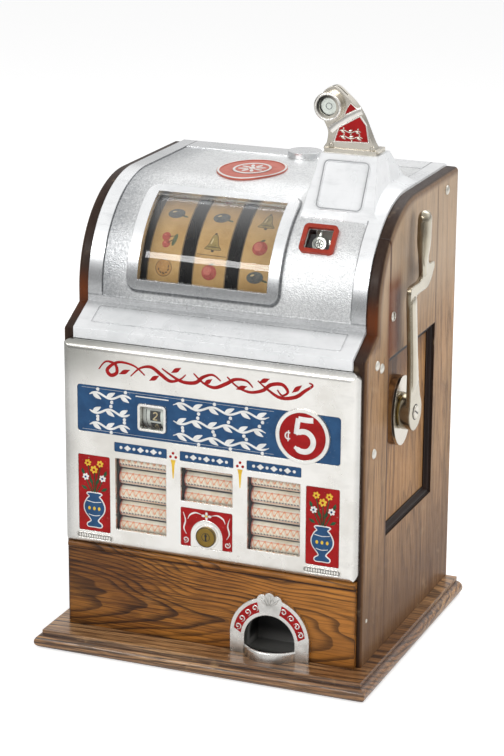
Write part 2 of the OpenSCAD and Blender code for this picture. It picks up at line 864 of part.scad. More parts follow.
module coin_window_bezel() {
  color("#c8321e") difference() {
    coin_window(bezel_b + 1, coin_win_w + 2 * bezel_b, coin_win_h + 2 * bezel_b);
    coin_window(2 * bezel_b / 5, coin_win_w, coin_win_h, eps);
    rod_x(-in_x, in_x, crown_y, crown_z, field_r + seat_fit);
  }
}
module coin_window_glass() {
  r1 = inner_r - coin_fit;
  color("#c8d8dc", 0.35) along_x(coin_win_x - coin_win_w / 2 - 4, coin_win_x + coin_win_w / 2 + 4)
    crown_sector(r1 - glass_t, r1, coin_a0 - 2, coin_a1 + 2);
}
module oval(w, d) {
  polygon([for (i = [0:71]) [w / 2 * cos(5 * i), d / 2 * sin(5 * i)]]);
}
module badge() {
  color(red) difference() {
    intersection() {
      translate([badge_x, badge_y, crown_z]) linear_extrude(2 * skin_r) oval(badge_w, badge_d);
      difference() {
        skin_solid(in_x, field_deep - seat_fit - badge_t);
        skin_solid(cab_w, field_deep - seat_fit);
      }
    }
    translate([badge_x, badge_y, skin_top - field_deep + badge_t - 0.7]) linear_extrude(9) difference() {
      oval(badge_w - 8, badge_d - 8);
      oval(badge_w * 0.52, badge_d * 0.52);
    }
  }
}

// Coin head on the tower
module head_outline() {
  hw = head_w / 2;
  polygon(curve([[-hw, 1], [-hw, 12], [-hw + 1, 24], [ring_x - 8, ring_h - 16],
    [ring_x - ring_r + 4, ring_h],
    [ring_x - 8, ring_h + 16], [ring_x + 5, ring_h + ring_r + 6], [ring_x + 18, ring_h + 14],
      [ring_x + 30, ring_h + 3],
    [hw - 18, ring_h - 10], [hw - 11, ring_h - 25], [hw - 5, 15], [hw, 6], [hw, 1]], 6));
}
module coin_head() {
  color("#c9c2ae") translate([head_x, 0, z_pad]) difference() {
    union() {
      box(-head_w / 2 - 2, head_w / 2 + 2, head_y, head_y + head_d, 0, head_plate);
      along_y(head_body_y, head_body_y + head_t) head_outline();
      rod_y(ring_x, ring_y, head_body_y + head_t, ring_h, ring_r);
    }
    rod_y(ring_x, ring_y - 1, ring_y + coin_deep, ring_h, coin_r + coin_fit);
    translate([ring_x + 8, head_body_y + head_t / 2, ring_h + 12]) box(-13, 13, -1.4, 1.4, 0, 30);
  }
}
module coin_head_lens() {
  color("#c8d8dc", 0.35) rod_y(head_x + ring_x, ring_y + coin_deep - coin_t - 2 * lens_t,
    ring_y + coin_deep - coin_t - lens_t, z_pad + ring_h, coin_r);
}
module coin() {
  color("#b9b7b0") rod_y(head_x + ring_x, ring_y + coin_deep - coin_t, ring_y + coin_deep,
    z_pad + ring_h, coin_r);
}
module coin_chute() {
  color(steel) {
    difference() {
      box(coin_win_x - chute_w / 2, coin_win_x + chute_w / 2, chute_y, chute_y + chute_d, chute_z0,
        chute_z1);
      box(coin_win_x - chute_w / 2 + chute_wall, coin_win_x + chute_w / 2 - chute_wall,
        chute_y + chute_wall, chute_y + chute_d - chute_wall, chute_z0 - 1, chute_z1 + 1);
    }
    translate([frame_x1 + frame_t, chute_y + chute_d, chute_z0 + chute_foot]) {
      box(0, coin_win_x - chute_w / 2 - frame_x1 - frame_t, -chute_wall, 0, 0, chute_bracket_h);
      box(0, chute_wall, -chute_wall, chute_bracket_d, 0, chute_bracket_h);
    }
  }
}

// Payout cup set through the apron
module payout_cup() {
  tunnel_y = y_apron + cup_tunnel;
  lip_y = y_apron - cup_reach + lip_r;
  color("#cfcfcc") translate([cup_x, 0, base_h]) {
    along_y(y_apron - cup_plate_t, y_apron) difference() {
      arch(cup_w, crest_z);
      translate([0, cup_floor]) arch(cup_mouth_w, cup_mouth_h - cup_floor);
    }
    rod_y(0, y_apron - cup_plate_t, y_apron, crest_z, crest_r);
    for (s = [-1, 1])
      rod_y(s * crest_r * 1.4, y_apron - cup_plate_t, y_apron, crest_z - crest_r * 0.45, crest_r);
    intersection() {
      translate([0, lip_y, 0]) {
        difference() {
          cylinder(r = lip_r, h = cup_lip_h - lip_w / 2);
          translate([0, 0, cup_floor]) cylinder(r = lip_r - lip_w, h = cup_lip_h);
        }
        translate([0, 0, cup_lip_h - lip_w / 2]) rotate_extrude()
          translate([lip_r - lip_w / 2, 0]) circle(r = lip_w / 2, $fn = 48);
      }
      box(-cup_w, cup_w, y_apron - cup_w, y_apron - cup_plate_t, 0, cup_lip_h);
    }
    along_y(y_apron, tunnel_y) difference() {
      arch(2 * cup_half, cup_mouth_h + cup_wall);
      translate([0, cup_floor]) arch(cup_mouth_w, cup_mouth_h - cup_floor);
    }
    along_y(tunnel_y, tunnel_y + cup_floor) arch(2 * cup_half, cup_mouth_h + cup_wall);
  }
}

// Handle plate and bush on the right panel
module handle_plate() {
  color("#c9c3b2") difference() {
    translate([panel_x, pivot_y, pivot_z]) rotate([90, 0, 90]) linear_extrude(plate_oval_t)
      oval(plate_oval_w, plate_oval_h);
    rod_x(panel_x - 1, oval_x1 + 1, pivot_y, pivot_z, bush_r + coin_fit);
  }
}
module handle_bush() {
  color("#b08d4a") difference() {
    union() {
      rod_x(panel_x - panel_t - 5, oval_x1, pivot_y, pivot_z, bush_r);
      rod_x(oval_x1, oval_x1 + flange_t, pivot_y, pivot_z, bush_flange_r);
    }
    rod_x(panel_x - panel_t - 6, oval_x1 + flange_t + 1, pivot_y, pivot_z, shaft_r + run_fit);
  }
}

// Lower casting with its windows, pockets and bosses
module face_cut(x, z, w, h, r, deep) {
  along_y(y_face - 9, y_face + deep) translate([x, z]) rounded(w, h, r);
}
module lower_casting() {
  color(silver) difference() {
    union() {
      difference() {
        cast_block(plate_w, y_face, y_front, plate_z0, plate_z1, plate_round);
        cast_block(plate_w - 2 * cast_wall, y_inner, y_front + 1, plate_z0 + cast_wall,
          plate_z1 - cast_wall,
          plate_round - cast_wall);
        face_cut(0, band_mid, band_w, band_h, 4, pocket);
        for (k = [-1:1]) face_cut(k * mint_pitch, header_z + header_h / 2, mint_w + 2, header_h, 1.5,
          pocket);
        for (s = [-1, 1])
          face_cut(s * side_pocket_x, side_pocket_z + side_pocket_h / 2, side_pocket_w, side_pocket_h,
            2, pocket);
        face_cut(0, block_z + block_h / 2, mint_w, block_h, 2, pocket);
      }
      rod_y(roundel_x, y_face - 2, y_inner, band_mid + 1, roundel_r);
      rod_y(0, y_face - 1, y_inner, lock_z, lock_r + 4);
      along_y(y_face - 2, y_inner) translate([-pane_x, pane_z])
        rounded(pane_w + 2 * pane_frame, pane_h + 2 * pane_frame, 4);
    }
    along_y(y_face - 9, y_face - 2 + pocket) translate([roundel_x,
      band_mid + 1]) circle(r = roundel_r - 4.5);
    face_cut(-pane_x, pane_z, pane_w, pane_h, 2, plate_depth);
    for (o = openings) face_cut(o[0], (o[1] + mint_z1) / 2, mint_w, mint_z1 - o[1], 1, plate_depth);
    rod_y(0, y_face - 9, y_front, lock_z, lock_r + coin_fit);
  }
}
module window_panes() {
  color("#c8d8dc", 0.35) {
    for (o = openings)
      box(o[0] - mint_w / 2 - pane_lap, o[0] + mint_w / 2 + pane_lap, y_inner, roll_y0,
        o[1] - pane_lap, mint_z1 + pane_lap);
    box(-pane_x - pane_w / 2 - drum_lap, -pane_x + pane_w / 2 + drum_lap, y_inner, roll_y0,
      pane_z - pane_h / 2 - drum_lap, pane_z + pane_h / 2 + drum_lap);
  }
}
module lock_barrel() {
  color("#b08d4a") difference() {
    union() {
      rod_y(0, y_face - 3, y_face - 1, lock_z, lock_r + 1.5);
      rod_y(0, y_face - 1, y_face + 24, lock_z, lock_r);
    }
    rod_y(0, y_face - 4, y_face + 25, lock_z, plug_r + run_fit);
  }
}
module lock_plug() {
  cam_y = y_face + 24.4;
  cam_t = 3;
  cam_w = 11;
  cam_l = 23;
  color("#9a7a3c") difference() {
    union() {
      rod_y(0, y_face - 2.5, cam_y + cam_t, lock_z, plug_r);
      along_y(cam_y, cam_y + cam_t) translate([0, lock_z]) {
        circle(r = plug_r + 1.5);
        translate([0, -cam_w / 2]) square([cam_l, cam_w]);
      }
    }
    box(-0.8, 0.8, y_face - 4, y_face + 8, lock_z - 4, lock_z + 4);
  }
}
module indicator_bracket() {
  ear_x = drum_w / 2 + ear_gap;
  flange = 7;
  color(steel) {
    for (s = [-1, 1]) translate([-pane_x + s * ear_x, 0, 0]) {
      along_x(s > 0 ? 0 : -ear_t, s > 0 ? ear_t : 0) {
        translate([y_inner, pane_z - 9]) square([drum_y - y_inner, 18]);
        translate([drum_y, pane_z]) circle(r = 9);
      }
      box(s > 0 ? 0 : -flange, s > 0 ? flange : 0, y_inner, y_inner + ear_t, pane_z - 16, pane_z + 16);
    }
    rod_x(-pane_x - ear_x, -pane_x + ear_x, drum_y, pane_z, drum_pin_r);
  }
}
module indicator_wheel() {
  color("#e8e2d0") ring_sleeve(-pane_x - drum_w / 2, -pane_x + drum_w / 2, drum_y, pane_z, drum_r,
    drum_pin_r + run_fit);
}
module mint_columns() {
  color(steel) for (c = columns) {
    for (s = [-1, 1]) {
      box(c[0] + (s > 0 ? col_hw : -col_hw - sheet_t), c[0] + (s > 0 ? col_hw + sheet_t : -col_hw),
        roll_y0, col_y1, c[1] - shelf_t - sheet_t - col_fit, col_z1);
      box(c[0] + (s > 0 ? col_hw - foot_w : -col_hw), c[0] + (s > 0 ? col_hw : -col_hw + foot_w),
        roll_y0, col_y1, c[1] - shelf_t - sheet_t - col_fit, c[1] - shelf_t - col_fit);
    }
    box(c[0] - col_hw - sheet_t, c[0] + col_hw + sheet_t, col_y1, col_y1 + sheet_t, c[1] + col_fit, col_z1);
  }
}
module mint_rolls() {
  pitch = 2 * roll_r + roll_gap;
  color("#e6d9bd") for (c = columns)
    for (i = [0:floor((col_z1 - c[1]) / pitch) - 1])
      rod_x(c[0] - roll_l / 2, c[0] + roll_l / 2, roll_y, c[1] + roll_gap + roll_r + i * pitch, roll_r);
}
module vend_shelf() {
  tongue_hw = col_hw - col_fit;
  bridge_hw = mint_pitch + tongue_hw;
  color(steel) {
    for (c = columns) box(c[0] - tongue_hw, c[0] + tongue_hw, roll_y0 + 1, shelf_back + shelf_t,
      c[1] - shelf_t, c[1]);
    box(-bridge_hw, bridge_hw, shelf_back, shelf_back + shelf_t, columns[0][1] - shelf_t, columns[1][1]);
  }
}

// Mechanism table, frames and fixed shafts
module mech_table() {
  color("#8f8c86") {
    box(-table_hw, table_hw, table_y0, table_y1, table_z, table_top);
    for (s = [-1, 1]) box(s > 0 ? table_hw - table_t : -table_hw, s > 0 ? table_hw : -table_hw + table_t,
      table_y0, table_y1, base_h, table_z);
  }
}
module frame_outline() {
  difference() {
    union() {
      translate([frame_y0, table_top]) square([frame_y1 - frame_y0, neck_z - table_top]);
      polygon([[frame_y0, neck_z], [frame_y1, neck_z], [crown_y + neck_aft, frame_z1],
        [crown_y - neck_fore, frame_z1]]);
    }
    translate([crown_y, crown_z]) circle(r = reel_shaft_r + seat_fit);
    translate([crown_y + slot_back, table_top + slot_rise]) rounded(slot_w, slot_h, slot_round);
  }
}
module left_frame() {
  color("#8f8c86") {
    along_x(frame_x0 - frame_t, frame_x0) frame_outline();
    rod_x(frame_x0 - frame_t - fan_pin_l, frame_x0 - frame_t, fan_y, fan_z, fan_pin_r);
  }
}
module right_frame() {
  color("#8f8c86") difference() {
    along_x(frame_x1, frame_x1 + frame_t) frame_outline();
    rod_x(frame_x1 - 1, frame_x1 + frame_t + 1, pivot_y, pivot_z, shaft_r + run_fit);
  }
}
module tie_rods() {
  color(steel) for (p = rods) rod_x(frame_x0, frame_x1, p[0], p[1], rod_r);
}
module reel_shaft() {
  over = 6;
  color(steel) rod_x(frame_x0 - frame_t - over, frame_x1 + frame_t + over, crown_y, crown_z, reel_shaft_r);
}

// Reels, counted from the left
module reel(i) {
  x = -reel_x + (i - 2) * reel_pitch;
  holes = 6;
  hole_r = 21;
  color("#2b2b2d") difference() {
    union() {
      ring_sleeve(x - reel_w / 2, x + reel_w / 2, crown_y, crown_z, rim_r, rim_r - reel_rim);
      rod_x(x - reel_web / 2, x + reel_web / 2, crown_y, crown_z, rim_r - 1);
      rod_x(x - reel_w / 3, x + reel_w / 3, crown_y, crown_z, reel_hub_r);
    }
    rod_x(x - reel_w, x + reel_w, crown_y, crown_z, reel_shaft_r + run_fit);
    for (k = [0:holes - 1])
      translate([0, crown_y, crown_z]) rotate([k * 360 / holes, 0, 0])
        rod_x(x - reel_web, x + reel_web, (rim_r + reel_hub_r) / 2, 0, hole_r);
  }
}
module reel_strip(i) {
  x = -reel_x + (i - 2) * reel_pitch;
  color("#cdb27c") ring_sleeve(x - reel_w / 2, x + reel_w / 2, crown_y, crown_z, reel_r, reel_r - strip_t);
}
module reel_1() { reel(1); }
module reel_2() { reel(2); }
module reel_3() { reel(3); }
module reel_strip_1() { reel_strip(1); }
module reel_strip_2() { reel_strip(2); }
module reel_strip_3() { reel_strip(3); }

// Stop levers behind the reels, lifted when the handle is pulled
module stop_shaft() {
  color(steel) rod_x(frame_x0, frame_x1, stop_y, stop_z, rod_r);
}
module stop_levers() {
  hub_w = 12;
  arm_h = 9;
  lever_t = 4;
  color(steel) difference() {
    for (i = [-1:1]) {
      x = -reel_x + i * reel_pitch;
      rod_x(x - hub_w / 2, x + hub_w / 2, stop_y, stop_z, rod_r + 4);
      translate([x, stop_y, stop_z]) rotate([stop_a, 0, 0])
        box(-lever_t / 2, lever_t / 2, 0, stop_reach, -arm_h / 2, arm_h / 2);
    }
    rod_x(frame_x0, frame_x1, stop_y, stop_z, rod_r + run_fit);
  }
}
module clock_fan() {
  x1 = frame_x0 - frame_t - 1;
  x0 = x1 - fan_pin_l + 3;
  vane_t = 1.2;
  color("#b08d4a") difference() {
    union() {
      rod_x(x0, x1, fan_y, fan_z, fan_pin_r + 4);
      box(x0 + 1, x1 - 1, fan_y - fan_r, fan_y + fan_r, fan_z - vane_t / 2, fan_z + vane_t / 2);
    }
    rod_x(x0 - 1, x1 + 1, fan_y, fan_z, fan_pin_r + run_fit);
  }
}
module payout_slides() {
  slide_hw = 30;
  slide_l = 54;
  slide_step = 5;
  color(steel) for (i = [0:slides - 1])
    translate([tube_x, table_y0 + slide_in + i * slide_step, table_top + i * slide_t])
      box(-slide_hw, slide_hw, 0, slide_l, 0, slide_t - (i < slides - 1 ? col_fit : 0));
}
module coin_tube() {
  color("#b08d4a") translate([tube_x, table_y0 + tube_in, table_top + slides * slide_t]) difference() {
    cylinder(r = coin_r + 3, h = tube_l);
    translate([0, 0, -1]) cylinder(r = coin_r + 1, h = tube_l + 2);
  }
}
module cash_box() {
  wall = 2;
  y0 = crown_y - 20;
  color("#55504a") translate([-reel_x, y0, base_h]) difference() {
    box(-cash_w / 2, cash_w / 2, 0, cash_d, 0, cash_h);
    box(-cash_w / 2 + wall, cash_w / 2 - wall, wall, cash_d - wall, wall, cash_h + 1);
  }
}

// Handle: lever outside, shaft through the panel, crank and spring inside
function grip_at(f, side) = grip_foot + [side * grip_w / 2 - grip_bow * sin(180 * f), f * grip_l];
function grip_tip(a, r) = grip_at(1 - grip_w / 2 / grip_l, 0) + r * [sin(a), cos(a)];
module arm_outline() {
  hw = arm_w / 2;
  n = [cos(arm_lean), sin(arm_lean)];
  e = arm_end;
  polygon(curve([-(hub_r - 5) * n, 0.18 * e - (hw + 5) * n, 0.4 * e - (hw + 1) * n, 0.66 * e - hw * n,
    0.9 * e - hw * n, e + [-hw + 2, 3], e + [-1, jog_t / 2 + 2], e + [jog_back / 2, jog_t / 2 + 2],
    grip_foot + [-grip_w / 2 - 3, jog_t], grip_at(0.22, -1), grip_at(0.4, -1), grip_at(0.6, -1),
    grip_at(0.75, -1), for (a = [-75:25:75]) grip_tip(a, grip_w / 2), grip_at(0.75, 1), grip_at(0.6, 1),
    grip_at(0.4, 1), grip_at(0.26, 1.3), grip_foot + [hook_l - 3, 0.24 * grip_l],
    grip_foot + [hook_l, 0.17 * grip_l], grip_foot + [hook_l - 6, 0.08 * grip_l],
    grip_foot + [grip_w / 2 + 4, -1], grip_foot + [2, -jog_t / 2], e + [jog_back / 2, -jog_t / 2],
    e + [hw + 2, -jog_t / 2 - 2], 0.88 * e + hw * n, 0.66 * e + hw * n, 0.4 * e + (hw + 1) * n,
    0.18 * e + (hw + 5) * n, (hub_r - 5) * n], 4));
}
module grip_outline() {
  polygon(curve([for (f = [0.3, 0.5, 0.7]) grip_at(f, -0.75), for (a = [-60:30:60]) grip_tip(a, grip_w * 0.36),
    for (f = [0.7, 0.5, 0.3]) grip_at(f, 0.75), grip_at(0.22, 0)], 4));
}
module handle_lever() {
  color("#cfc9b8") translate([0, pivot_y, pivot_z]) difference() {
    union() {
      rod_x(hub_x0, hub_x1, 0, 0, hub_r);
      along_x(hub_x1 - arm_t, hub_x1) arm_outline();
      along_x(hub_x1 - arm_t - grip_swell, hub_x1 + grip_swell) grip_outline();
    }
    rod_x(hub_x0 - 1, hub_x1 - 3, 0, 0, shaft_r + seat_fit);
    rod_x(hub_x1 - hub_screw_deep, hub_x1 + 1, 0, 0, hub_screw_r);
  }
}
module handle_shaft() {
  color(steel) rod_x(frame_x1 - 3, hub_x1 - 3, pivot_y, pivot_z, shaft_r);
}
module handle_crank() {
  color("#8f8c86") difference() {
    union() {
      rod_x(crank_x, crank_x + crank_t, pivot_y, pivot_z, shaft_r + crank_wall);
      box(crank_x + 1, crank_x + crank_t - 1, pivot_y - crank_hw, pivot_y + crank_hw, pivot_z - crank_l,
        pivot_z - shaft_r - 2);
      rod_x(crank_x - crank_pin_l, crank_x + 2, pivot_y, pivot_z - crank_l + crank_hw, crank_pin_r);
    }
    rod_x(crank_x - 1, crank_x + crank_t + 1, pivot_y, pivot_z, shaft_r + seat_fit);
  }
}
module return_spring() {
  rings = spring_turns * 8;
  sides = 6;
  x0 = frame_x1 + frame_t + 0.3 + wire_r;
  points = [for (i = [0:rings], j = [0:sides - 1])
    let (a = i * 45, r = spring_r + wire_r * cos(j * 60))
    [x0 + spring_l * i / rings + wire_r * sin(j * 60), pivot_y + r * cos(a), pivot_z + r * sin(a)]];
  faces = [for (i = [0:rings - 1], j = [0:sides - 1], half = [0, 1])
    let (a = i * sides + j, b = i * sides + (j + 1) % sides)
    half == 0 ? [a, b, b + sides] : [a, b + sides, a + sides]];
  cap0 = [for (j = [1:sides - 2]) [0, j + 1, j]];
  cap1 = [for (j = [1:sides - 2]) [rings * sides, rings * sides + j, rings * sides + j + 1]];
  color("#b5b2aa") polyhedron(points, concat(faces, cap0, cap1));
}

base_board();
right_front_stile();
right_rear_stile();
right_top_rail();
right_bottom_rail();
right_panel();
left_front_stile();
left_rear_stile();
left_top_rail();
left_bottom_rail();
left_panel();
front_apron();
back_sill();
back_head();
back_door();
hinge_leaves();
door_leaves();
door_latch();
upper_casting();
reel_glass();
coin_window_bezel();
coin_window_glass();
badge();
coin_head();
coin_head_lens();
coin();
coin_chute();
payout_cup();
handle_plate();
handle_bush();
lower_casting();
window_panes();
lock_barrel();
lock_plug();
indicator_bracket();
indicator_wheel();
mint_columns();
mint_rolls();
vend_shelf();
mech_table();
left_frame();
right_frame();
tie_rods();
reel_shaft();
reel_1();
reel_2();
reel_3();
reel_strip_1();
reel_strip_2();
reel_strip_3();
stop_shaft();
stop_levers();
handle_lever();
handle_shaft();
handle_crank();
return_spring();
clock_fan();
payout_slides();
coin_tube();
cash_box();
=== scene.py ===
import math
import bpy
import bmesh
from mathutils import Matrix, Vector
from mathutils.geometry import tessellate_polygon


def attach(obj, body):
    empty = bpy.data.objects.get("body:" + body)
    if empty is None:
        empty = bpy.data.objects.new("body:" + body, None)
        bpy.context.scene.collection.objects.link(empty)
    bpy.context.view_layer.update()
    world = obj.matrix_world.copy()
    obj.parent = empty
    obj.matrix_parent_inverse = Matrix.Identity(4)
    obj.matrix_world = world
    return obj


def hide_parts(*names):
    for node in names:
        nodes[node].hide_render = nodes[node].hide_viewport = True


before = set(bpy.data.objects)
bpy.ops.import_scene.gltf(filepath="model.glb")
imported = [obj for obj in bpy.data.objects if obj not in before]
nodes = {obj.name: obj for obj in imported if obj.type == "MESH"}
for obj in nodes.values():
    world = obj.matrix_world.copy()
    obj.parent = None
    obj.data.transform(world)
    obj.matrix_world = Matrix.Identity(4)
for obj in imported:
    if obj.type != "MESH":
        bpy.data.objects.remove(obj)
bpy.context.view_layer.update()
scene = bpy.context.scene
mm = 0.001
crown = dict(y=29.5, z=430.5)  # axis of the curved top and of the reels, in millimetres
print("frame loaded:", len(nodes), "nodes")


# Shader sums

def pair(operation, flipped=False):  # an operator between two sockets, or a socket and a number
    return lambda one, two: one.math(operation, *((two, one) if flipped else (one, two)))


class Wire:  # one socket of a material that takes part in sums
    def __init__(self, tree, socket=None):
        self.tree = tree
        self.socket = socket

    __add__, __radd__ = pair("ADD"), pair("ADD", True)
    __sub__, __rsub__ = pair("SUBTRACT"), pair("SUBTRACT", True)
    __mul__, __rmul__ = pair("MULTIPLY"), pair("MULTIPLY", True)
    __truediv__, __rtruediv__ = pair("DIVIDE"), pair("DIVIDE", True)
    __pow__, __gt__, __lt__ = pair("POWER"), pair("GREATER_THAN"), pair("LESS_THAN")
    lowest, highest = pair("MINIMUM"), pair("MAXIMUM")

    def node(self, kind, settings=None, values=None, out=0):
        made = self.tree.nodes.new("ShaderNode" + kind)
        for key, value in (settings or {}).items():
            setattr(made, key, value)
        for key, value in (values or {}).items():
            if isinstance(value, Wire):
                self.tree.links.new(value.socket, made.inputs[key])
            else:
                made.inputs[key].default_value = value
        return Wire(self.tree, made.outputs[out] if len(made.outputs) else None)

    def math(self, operation, *terms):
        return self.node("Math", {"operation": operation}, dict(enumerate(terms)))

    def ease(self, low, high):  # 0 below low, 1 above high
        return self.node("MapRange", {"interpolation_type": "SMOOTHSTEP"},
                         {"Value": self, "From Min": low, "From Max": high})

    def near(self, value, reach):  # 1 at the value, 0 further off than the reach
        return 1 - (self - value).size().ease(0.0, reach)

    def size(self):
        return self.math("ABSOLUTE", self)

    def fract(self):
        return self.math("FRACT", self)

    def tint(self, first, second):  # self is the share of the second colour
        return self.node("Mix", {"data_type": "RGBA"}, {0: self, 6: rgb(first), 7: rgb(second)}, out=2)

    def parts(self):
        made = self.node("SeparateXYZ", {}, {0: self}).socket.node
        return [Wire(self.tree, socket) for socket in made.outputs]

    def stretch(self, x, y, z):
        return self.node("VectorMath", {"operation": "MULTIPLY"}, {0: self, 1: (x, y, z)})

    def noise(self, scale, detail, roughness):
        return self.node("TexNoise", {}, {"Vector": self, "Scale": scale, "Detail": detail, "Roughness": roughness})

    def cells(self, scale):
        return self.node("TexVoronoi", {}, {"Vector": self, "Scale": scale})

    def rounded(self, radius):  # normal with softened edges
        return self.node("Bevel", {"samples": 4}, {"Radius": radius})

    def bump(self, strength, distance, normal):
        return self.node("Bump", {}, {"Height": self, "Strength": strength, "Distance": distance, "Normal": normal})


def rgb(code):  # written colour to the linear one; a socket stays as it is
    if isinstance(code, Wire):
        return code
    channels = [int(code[i:i + 2], 16) / 255 for i in (1, 3, 5)]
    return tuple(c / 12.92 if c <= 0.04045 else ((c + 0.055) / 1.055) ** 2.4 for c in channels) + (1.0,)


def layered(ground, *layers):  # each layer is a share and the colour that it brings
    for share, tone in layers:
        ground = share.tint(ground, tone)
    return ground


def slant(one, two):  # the long side over two short ones
    return (one * one + two * two) ** 0.5


def lightRays(start):  # rays from the camera, off polished faces and through glass
    outputs = start.node("LightPath").socket.node.outputs
    return [Wire(start.tree, outputs["Is %s Ray" % kind]) for kind in ("Camera", "Glossy", "Transmission")]


def newFinish(name):
    material = bpy.data.materials.new(name)
    material.use_nodes = True
    material.node_tree.nodes.clear()
    start = Wire(material.node_tree)
    return material, start, start.node("TexCoord", out=3)


def closeFinish(material, start, values):
    start.node("OutputMaterial", {}, {"Surface": start.node("BsdfPrincipled", {}, values)})
    return material


# Oak: size along and across the fibres, detail and roughness of each noise
oakFibres = dict(sway=(3.2, 14.0, 2.0, 0.5), shake=(9.0, 60.0, 2.0, 0.6), thread=(9.0, 620.0, 3.0, 0.65),
                 streak=(3.0, 150.0, 3.0, 0.6), pore=(42.0, 1500.0, 2.0, 0.6), fleck=(24.0, 330.0, 2.0, 0.6))
oakTones = dict(paintedSheen="#bfad98", glow="#cf8a3c", edge="#1a0b05", redBrown="#6a3109")


def oakFinish(name, grain, face, look):  # grain is the fibres' axis, face the axis that the broad side looks along
    material, start, spot = newFinish(name)
    axes = dict(zip("xyz", spot.parts()))
    x, y, z = axes.values()
    fibres = {}
    for key, (along, wide, detail, rough) in oakFibres.items():
        sizes = [along if axis == grain else wide for axis in "xyz"]
        fibres[key] = spot.stretch(*sizes).noise(1.0, detail, rough)
    sway, shake, thread, streak = (fibres[key] for key in ("sway", "shake", "thread", "streak"))
    pore, fleck = fibres["pore"].ease(0.56, 0.66), fibres["fleck"].ease(0.5, 0.62)
    uneven = 0.6 + 0.8 * streak
    across = [axes[axis] for axis in "xyz" if axis not in grain + face][0]
    aside = across - look["pith"] + (sway - 0.5) * look["sway"]
    reach = slant(aside, axes[face] - look["heart"])  # from the tree's middle, so that rings bend as in a sawn board
    turns = (reach * look["rings"] + axes[grain] * look["taper"]
             + (sway - 0.5) * look["wander"] + (shake - 0.5) * 0.5)
    saw = turns.fract()
    late = saw.ease(0.4, 0.9) * (1 - saw.ease(0.94, 1.0))  # slow rise and sharp fall, as in a year's growth
    growth = late * (0.5 + 0.5 * (turns * 0.17).fract())
    facing = dict(zip("xyz", start.node("NewGeometry", out=1).parts()))[face].size()
    edge = (1 - facing.ease(0.4, 0.95)) * look["edge"]  # the boards' edges took more stain
    bend = slant((y - crown["y"] * mm).lowest(0.0), (z - crown["z"] * mm).highest(0.0))
    curve = bend.ease(0.114, 0.121) * z.ease(0.395, 0.405) * look["curve"] * 0.7
    stainAndShade = ((1 - z.ease(0.06, look["lowTo"])) * look["low"]).highest(edge).highest(curve)
    for axis, value, width, share in look["rims"]:  # darker bands along edges: stain at the joints, and painted shade in the creases
        stainAndShade = stainAndShade.highest(axes[axis].near(value, width) * share)
    patch = y.near(-0.042, 0.036).ease(0.0, 0.7) * z.near(0.425, 0.07).ease(0.0, 0.5) * look["curve"]
    redBrown = (edge * z.near(0.43, 0.035)).highest(patch)  # darker red-brown on the edges by the foot of the curve, and in a patch on the top rail
    colour = layered(look["pale"], (spot.noise(7.0, 3.0, 0.55).ease(0.3, 0.7), look["middle"]),
                     (streak.ease(0.42, 0.68) * 0.7, look["middle"]),
                     (growth * look["ringDepth"], look["dark"]),
                     (thread.ease(0.47, 0.66) * look["thread"], look["dark"]),
                     (fleck * look["fleck"] * (0.5 + 0.5 * growth), look["pore"]),
                     (pore * (0.35 + growth * 0.65), look["pore"]),
                     (z.ease(0.36, 0.46) * look["upperSheen"] * uneven, oakTones["paintedSheen"]),  # paler above: a painted sheen, as if the upper faces mirrored the bright room
                     (x.ease(-0.06, 0.16) * look["warm"] * (1 - 0.7 * growth), oakTones["glow"]),
                     (stainAndShade * uneven, look["stainAndShade"]),
                     (edge * 0.95, oakTones["edge"]),
                     (redBrown * uneven, oakTones["redBrown"]),
                     (spot.noise(38.0, 3.0, 0.6).ease(0.6, 0.8) * look["wear"], look["worn"]))
    rough = look["rough"] + 0.14 * thread + 0.2 * pore
    normal = (0.5 * thread - 0.9 * pore - 0.25 * growth).bump(0.2, 0.0005, start.rounded(0.0018))
    return closeFinish(material, start, {"Base Color": colour, "Roughness": rough, "Normal": normal,
                                         "Coat Weight": look["coat"] * (1 - 0.8 * pore), "Coat Roughness": 0.16,
                                         "Specular IOR Level": look["sheen"]})


sideLook = dict(
    pith=0.02, heart=0.9, sway=0.05, rings=230.0, taper=4.0, wander=5.0, ringDepth=0.42, thread=0.6, fleck=0.35,
    pale="#b38a60", middle="#947046", dark="#54361e", pore="#2b180a", worn="#b59a78", stainAndShade="#43220d",
    wear=0.35, rough=0.36, coat=0.05, sheen=0.2, upperSheen=0.5, warm=0.0, low=0.6, lowTo=0.24, curve=0.8, edge=0.85,
    rims=[("y", -0.138, 0.02, 0.75), ("y", -0.0582, 0.0045, 0.95), ("y", 0.1105, 0.003, 0.6), ("z", 0.02, 0.03, 0.6)])
# panel rims: painted shade along the panel's front edge and under the top rail
panelLook = {
    **sideLook, "pith": 0.03, "heart": 0.3, "rings": 200.0, "taper": 9.0, "low": 0.2, "curve": 0.0,
    "pale": "#b58857", "middle": "#966b40", "rims": [("y", -0.057, 0.03, 0.5), ("z", 0.378, 0.05, 0.6)]}
apronLook = dict(
    pith=0.055, heart=-0.18, sway=0.06, rings=165.0, taper=20.0, wander=8.0, ringDepth=0.9, thread=0.8, fleck=0.75,
    pale="#d48d3a", middle="#a26428", dark="#1f0b02", pore="#170801", worn="#b98a56", stainAndShade="#2c1204",
    wear=0.12, rough=0.24, coat=0.15, sheen=0.22, upperSheen=0.0, warm=0.36, low=0.2, lowTo=0.07, curve=0.0, edge=0.25,
    rims=[("x", 0.19, 0.01, 0.8), ("x", -0.19, 0.03, 0.7), ("x", -0.2, 0.34, 0.52),
          # rims: darker ends, and a painted shade line under the bead at z 0.1205
          ("z", 0.022, 0.01, 0.6), ("z", 0.1205, 0.0026, 1.0)])
